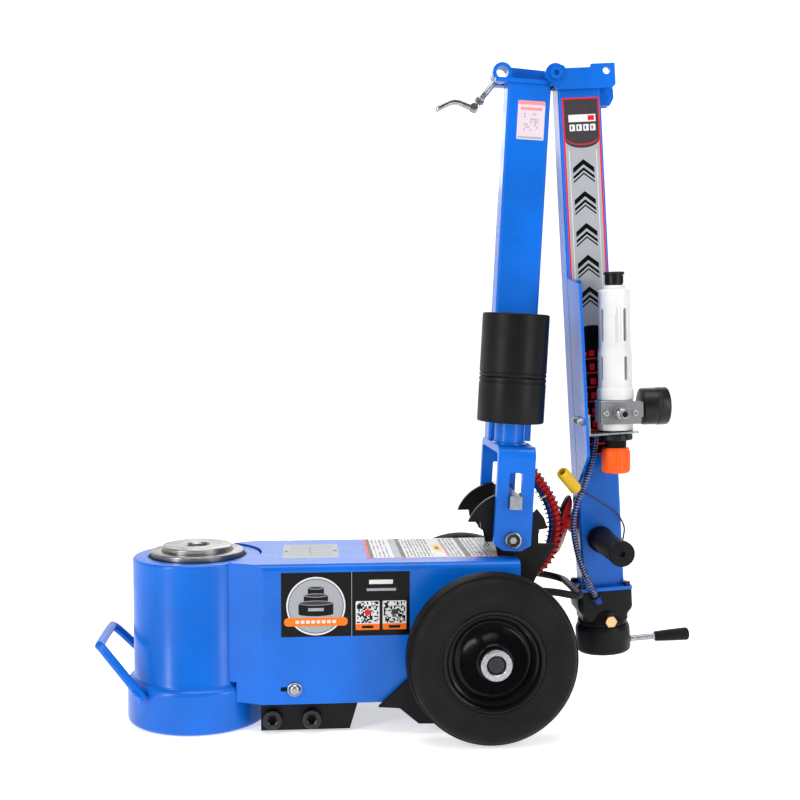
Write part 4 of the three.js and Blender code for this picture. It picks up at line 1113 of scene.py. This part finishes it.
def dust_cap():
    at = move(-8, -24, -570) @ turn("Y", -39.1) @ turn("X", 27.4)
    cap = Shape().solid([(6.8, 0), (8.0, 1.0), (8.5, 2.4), (8.5, 37), (8.1, 39.2), (7.2, 40.6), (6.6, 41),
        (5.5, 41), (5, 40), (5, 14)], 64, 0, at)
    # A near-black rod fills the cap's hollow: painted shade inside it.
    cap.solid([(4.9, 14.2), (4.9, 31)], 32, 1, at)
    capped = piece("coupling_dust_cap", "upper_handle", cap, "yellow dark", "dust_cap", UPPER)
    route = [(-6, -24, -569), (6, -20, -577), (20, -12, -586), (38, 0, -599), (55, 10, -612),
        (66.5, 16, -632), (67, 22, -648), (66.4, 30, -657)]
    path = smooth_path(route, 10)
    tether = piece("cap_tether", "upper_handle", Shape().sweep(path, 1.2, 12), "tether", at=UPPER,
        slot="yellow_plastic")
    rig.cord(tether, **laid(UPPER, path, -1), diameter=0.0024, far_end="fitting", stiffness="medium",
        lay="loose", with_pieces=[capped])


# ---- labels
class Label(Shape):
    """Flat printed shapes in (across, up) millimetres on a plane, stacked in thin layers."""

    def __init__(self):
        super().__init__()
        self.keys = []

    def place(self, name, body, at):
        piece(name, body, self, " ".join("ink_" + key for key in self.keys), at=at, angle=20)

    def rects(self, *rows):
        for row in rows:
            self.rect(*row)

    def print(self, outline, key, layer):
        if key not in self.keys:
            self.keys.append(key)
        return self.prism(outline, LAYER + LAYER * (layer - 1) if layer else 0.0, 0.05 + LAYER * layer,
            self.keys.index(key))

    def rect(self, x0, x1, y0, y1, key, layer, r=0.0):
        outline = rounded(x0, x1, y0, y1, r, 4) if r else [(x0, y0), (x1, y0), (x1, y1), (x0, y1)]
        return self.print(outline, key, layer)

    def disc(self, cx, cy, rx, ry, key, layer):
        return self.print(oval(cx, cy, rx, ry, 0, 2, 64)[:-1], key, layer)


def facing_near(x, y, z):
    """Plane that faces -Y, its across along +X and its up along +Z, with its origin there."""
    return move(x, y, z) @ turn("X", 90)


def side_sticker():
    s = Label()
    s.rects((0, 167, 0, 84, "black", 0), (91.0, 91.7, 0, 84, "grey", 1))
    # a pale disc with three stacked drums and a blank banner
    s.disc(45, 40, 38.2, 38.2, "white", 1)
    s.disc(45, 40, 36, 36, "dark", 2)
    s.disc(45, 40, 35, 35, "silver", 3)
    for half, low, high, top in ((22.5, 30, 44, 3.2), (15.7, 43, 54, 2.6), (10.5, 54, 64, 2.2)):
        s.disc(45, low, half, top, "black", 4)
        s.rect(45 - half, 45 + half, low, high, "black", 5)
        s.disc(45, high, half, top, "silver", 6)
        s.disc(45, high, half - 1.2, top - 0.7, "dark", 7)
    s.rects((35, 55, 33.5, 37.5, "grey", 8), (4, 86, 14, 25, "orange", 9, 4.6))
    for n in range(8):
        s.rect(18.6 + 6.8 * n, 23.2 + 6.8 * n, 17.4, 21.6, "white", 10, 0.8)
    # two blank bars above two dotted squares
    s.rects((114, 145, 67.6, 73.2, "white", 1), (111, 149, 58.6, 62.0, "grey", 1))
    random.seed(11)
    for left in (96.5, 131.5):
        s.rects((left, left + 31, 7.5, 45.5, "white", 1, 1.6), (left, left + 31, 7.5, 15.5, "orange", 2, 1.2),
            (left + 8, left + 23, 9.6, 13.2, "black", 3, 0.6))
        cell = 28 / 15
        for i in range(15):
            for j in range(15):
                if random.random() < 0.48:
                    x, y = left + 1.5 + i * cell, 16.6 + j * cell
                    s.rect(x, x + cell, y, y + cell, "black", 2)
        s.disc(left + 15.5, 30.6, 4, 4, "red" if left < 100 else "dark", 3)
    s.place("side_sticker_near", "base", BASE @ facing_near(114, -COVER_SIDE, 128.5))
    far = move(281, COVER_SIDE, 128.5) @ turn("Z", 180) @ turn("X", 90)
    s.place("side_sticker_far", "base", BASE @ far)


def top_label():
    """Instruction panel on the cover, as plain blocks of tone."""
    s = Label()
    wide, deep = 187, 146
    s.rects((0, wide, 0, deep, "white", 0), (0, wide, 0, 3, "red", 1), (0, 4, 0, deep, "red", 1),
        (4, 9, 3, deep, "black", 1), (9, 36, 3, deep, "white", 1), (36, 46, 3, deep, "grey", 1),
        (46, 52, 3, deep, "black", 1), (132, 140, 3, deep, "black", 1), (160, 164, 3, deep, "grey", 1),
        (178, wide, 3, 40, "red", 2))
    random.seed(5)
    for x0, x1, step in ((12, 34, 5.4), (55, 92, 4.6), (110, 130, 5.0), (143, 158, 5.2), (166, 177, 4.4)):
        x = x0
        while x < x1 - 2:
            y = 8.0
            while y < deep - 8:
                run = random.uniform(5, 16)
                s.rect(x, x + 2.2, y, min(y + run, deep - 6), "dark" if random.random() < 0.7 else "grey", 2)
                y += run + random.uniform(1.6, 4)
            x += step
    s.rects((94, 106, 40, 96, "yellow", 2, 5.6), (97, 103, 56, 80, "black", 3, 2.6),
        (108, 109.6, 8, deep - 8, "red", 2))
    s.place("instruction_panel", "base", BASE @ move(228, -60, COVER_TOP))


def data_plate():
    """Blank aluminium plate with two rivets and faint ruled lines."""
    s = Label()
    s.print(rounded(0, 75, 0, 100, 3), "plate", 0)
    for n in range(7):
        s.rect(8, 67, 14 + 11.5 * n, 14.9 + 11.5 * n, "dark", 1)
    s.rects((36, 36.8, 14, 84, "dark", 1), (8, 67, 88, 94, "grey", 1))
    for x, y in ((4.4, 50), (70.6, 50)):
        s.turned([(0, 0)] + [(2.6 * cos(a), 0.1 + 1.1 * sin(a)) for a in (0, 0.4, 0.8, 1.2)] + [(0, 1.25)],
            24, s.keys.index("plate"), move(x, y, 0))
    s.place("data_plate", "base", BASE @ move(116, -50, COVER_TOP))


def lower_tube_label():
    s = Label()
    s.rects((0, 38, 0, 53, "pale", 0, 1.4), (0, 38, 47.6, 53, "pink", 1, 1.2), (4, 34, 40, 44, "pink", 1),
        (1.6, 36.4, 1.6, 4.2, "grey", 1))
    random.seed(3)
    for i in range(7):
        for j in range(7):
            if random.random() < 0.45:
                s.rect(9 + i * 3, 11.2 + i * 3, 12 + j * 3.6, 14.6 + j * 3.6, "grey", 1)
    s.place("lower_tube_label", "lower_handle", LOWER @ facing_near(-10, TUBE_SIDE, 541))


def upper_tube_label():
    """Long panel: charcoal head with pale blocks, silver middle with chevrons, dark red foot."""
    s = Label()
    wide, tall = 52, 496
    s.rects((0, wide, 0, tall, "red", 0, 2), (2.2, wide - 2.2, 2.2, tall - 2.2, "silver", 1, 1.4))
    # head
    s.rect(2.2, wide - 2.2, tall - 58, tall - 2.2, "dark", 2, 1.4)
    head_arc = oval(wide / 2, tall - 57.6, 23.8, 11, 1, 2, 24)
    s.print(head_arc, "dark", 3)
    rim = oval(wide / 2, tall - 56, 22, 8.6, 1, 2, 24)
    inner = [(x, y + 1.3) for x, y in reversed(rim)]
    s.print(rim + inner, "red", 4)
    s.rects((8, 46, tall - 33, tall - 23, "white", 4, 0.6), (35, 44, tall - 31.4, tall - 24.6, "red", 5, 0.6))
    for n in range(4):
        s.rects((9 + 9.6 * n, 16.6 + 9.6 * n, tall - 45.4, tall - 36.4, "white", 4, 0.8),
            (11 + 9.6 * n, 13 + 9.6 * n, tall - 43.4, tall - 38.4, "dark", 5))
    # silver middle: heavy chevrons between thin side lines
    for x in (6.4, wide - 7.4):
        s.rect(x, x + 0.9, 190, tall - 72, "white", 2)
    y = tall - 84.0
    while y > 200:
        for k, (gap, thick) in enumerate(((0, 7.4), (11.4, 4.2), (18.4, 2.4))):
            top = y - gap
            left = [(11, top - 12), (wide / 2, top), (wide - 11, top - 12), (wide - 11, top - 12 - thick),
                (wide / 2, top - thick), (11, top - 12 - thick)]
            for corners in ((0, 5, 4, 1), (1, 4, 3, 2)):
                s.print([left[i] for i in corners], "black", 2)
        y -= 44
    # dark foot with red blocks
    foot = [(2.2, 2.2), (wide - 2.2, 2.2), (wide - 2.2, 168)]
    foot += oval(wide / 2, 168, wide / 2 - 2.2, 14, 0, 1, 24)
    s.print(foot, "black", 3)
    random.seed(9)
    for n in range(7):
        low = 14 + 20 * n
        s.rect(8, 44, low, low + 2.4, "red", 4)
        for k in range(3):
            x = 9 + 12 * k
            s.rect(x, x + random.uniform(6, 9), low + 5, low + random.uniform(10, 15), "red", 4)
    s.place("upper_tube_label", "upper_handle", UPPER @ facing_near(8.5, TUBE_SIDE, -529))


def bowl_print():
    """Thin grey rules on the bowl guard, in place of its small print."""
    s = Shape()
    for azimuth, low, high in ((-101, 112, 140), (-97, 114, 150), (-93, 112, 146), (-82, 112, 151)):
        at = turn("Z", azimuth)
        s.box(21.5, 21.75, -0.22, 0.22, low + 8, high + 20, 0, at)
    piece("bowl_ruled_lines", "upper_handle", s, "ink_grey", at=AIR, slot="black_plastic")


# ---- assembly
hose_bundle()
spring_hose()
dust_cap()
hydraulic_cylinder()
carry_loop()
body()
pivot_bolt()
wheels()
lower_handle()
clamp()
upper_handle()
air_unit()
control_head()
grips()
buffer()
side_sticker()
top_label()
data_plate()
lower_tube_label()
upper_tube_label()
bowl_print()


def floor():
    """Pale studio floor that curves up behind the object."""
    rows = []
    for y, z in [(-6, 0), (2.6, 0)] + [(2.6 + 1.6 * sin(a), 1.6 - 1.6 * cos(a))
            for a in (pi / 2 * k / 16 for k in range(1, 17))] + [(4.2, 6)]:
        rows.append([(-16, y, z), (16, y, z)])
    mesh = bpy.data.meshes.new("studio_floor")
    points = [p for row in rows for p in row]
    mesh.from_pydata(points, [], [(2 * i, 2 * i + 1, 2 * i + 3, 2 * i + 2) for i in range(len(rows) - 1)])
    mesh.shade_smooth()
    ground = bpy.data.objects.new("studio_floor", mesh)
    ground.location.z = -0.0005
    p = Paint("studio_paper")
    p.colour(p.mixed(p.noise(3.0, 2.0), (0.86, 0.86, 0.86), (0.90, 0.90, 0.90)))
    p.set("Roughness", 0.85)
    p.set("Emission Color", (1, 1, 1, 1))
    p.set("Emission Strength", 0.55)
    mesh.materials.append(p.material)
    scene.collection.objects.link(ground)
    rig.stage(ground)


floor()

low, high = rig.bounds()
with open("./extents.json", "w") as f:
    json.dump({"cad": [list(cad_low), list(cad_high)], "visual": [list(low), list(high)]}, f)
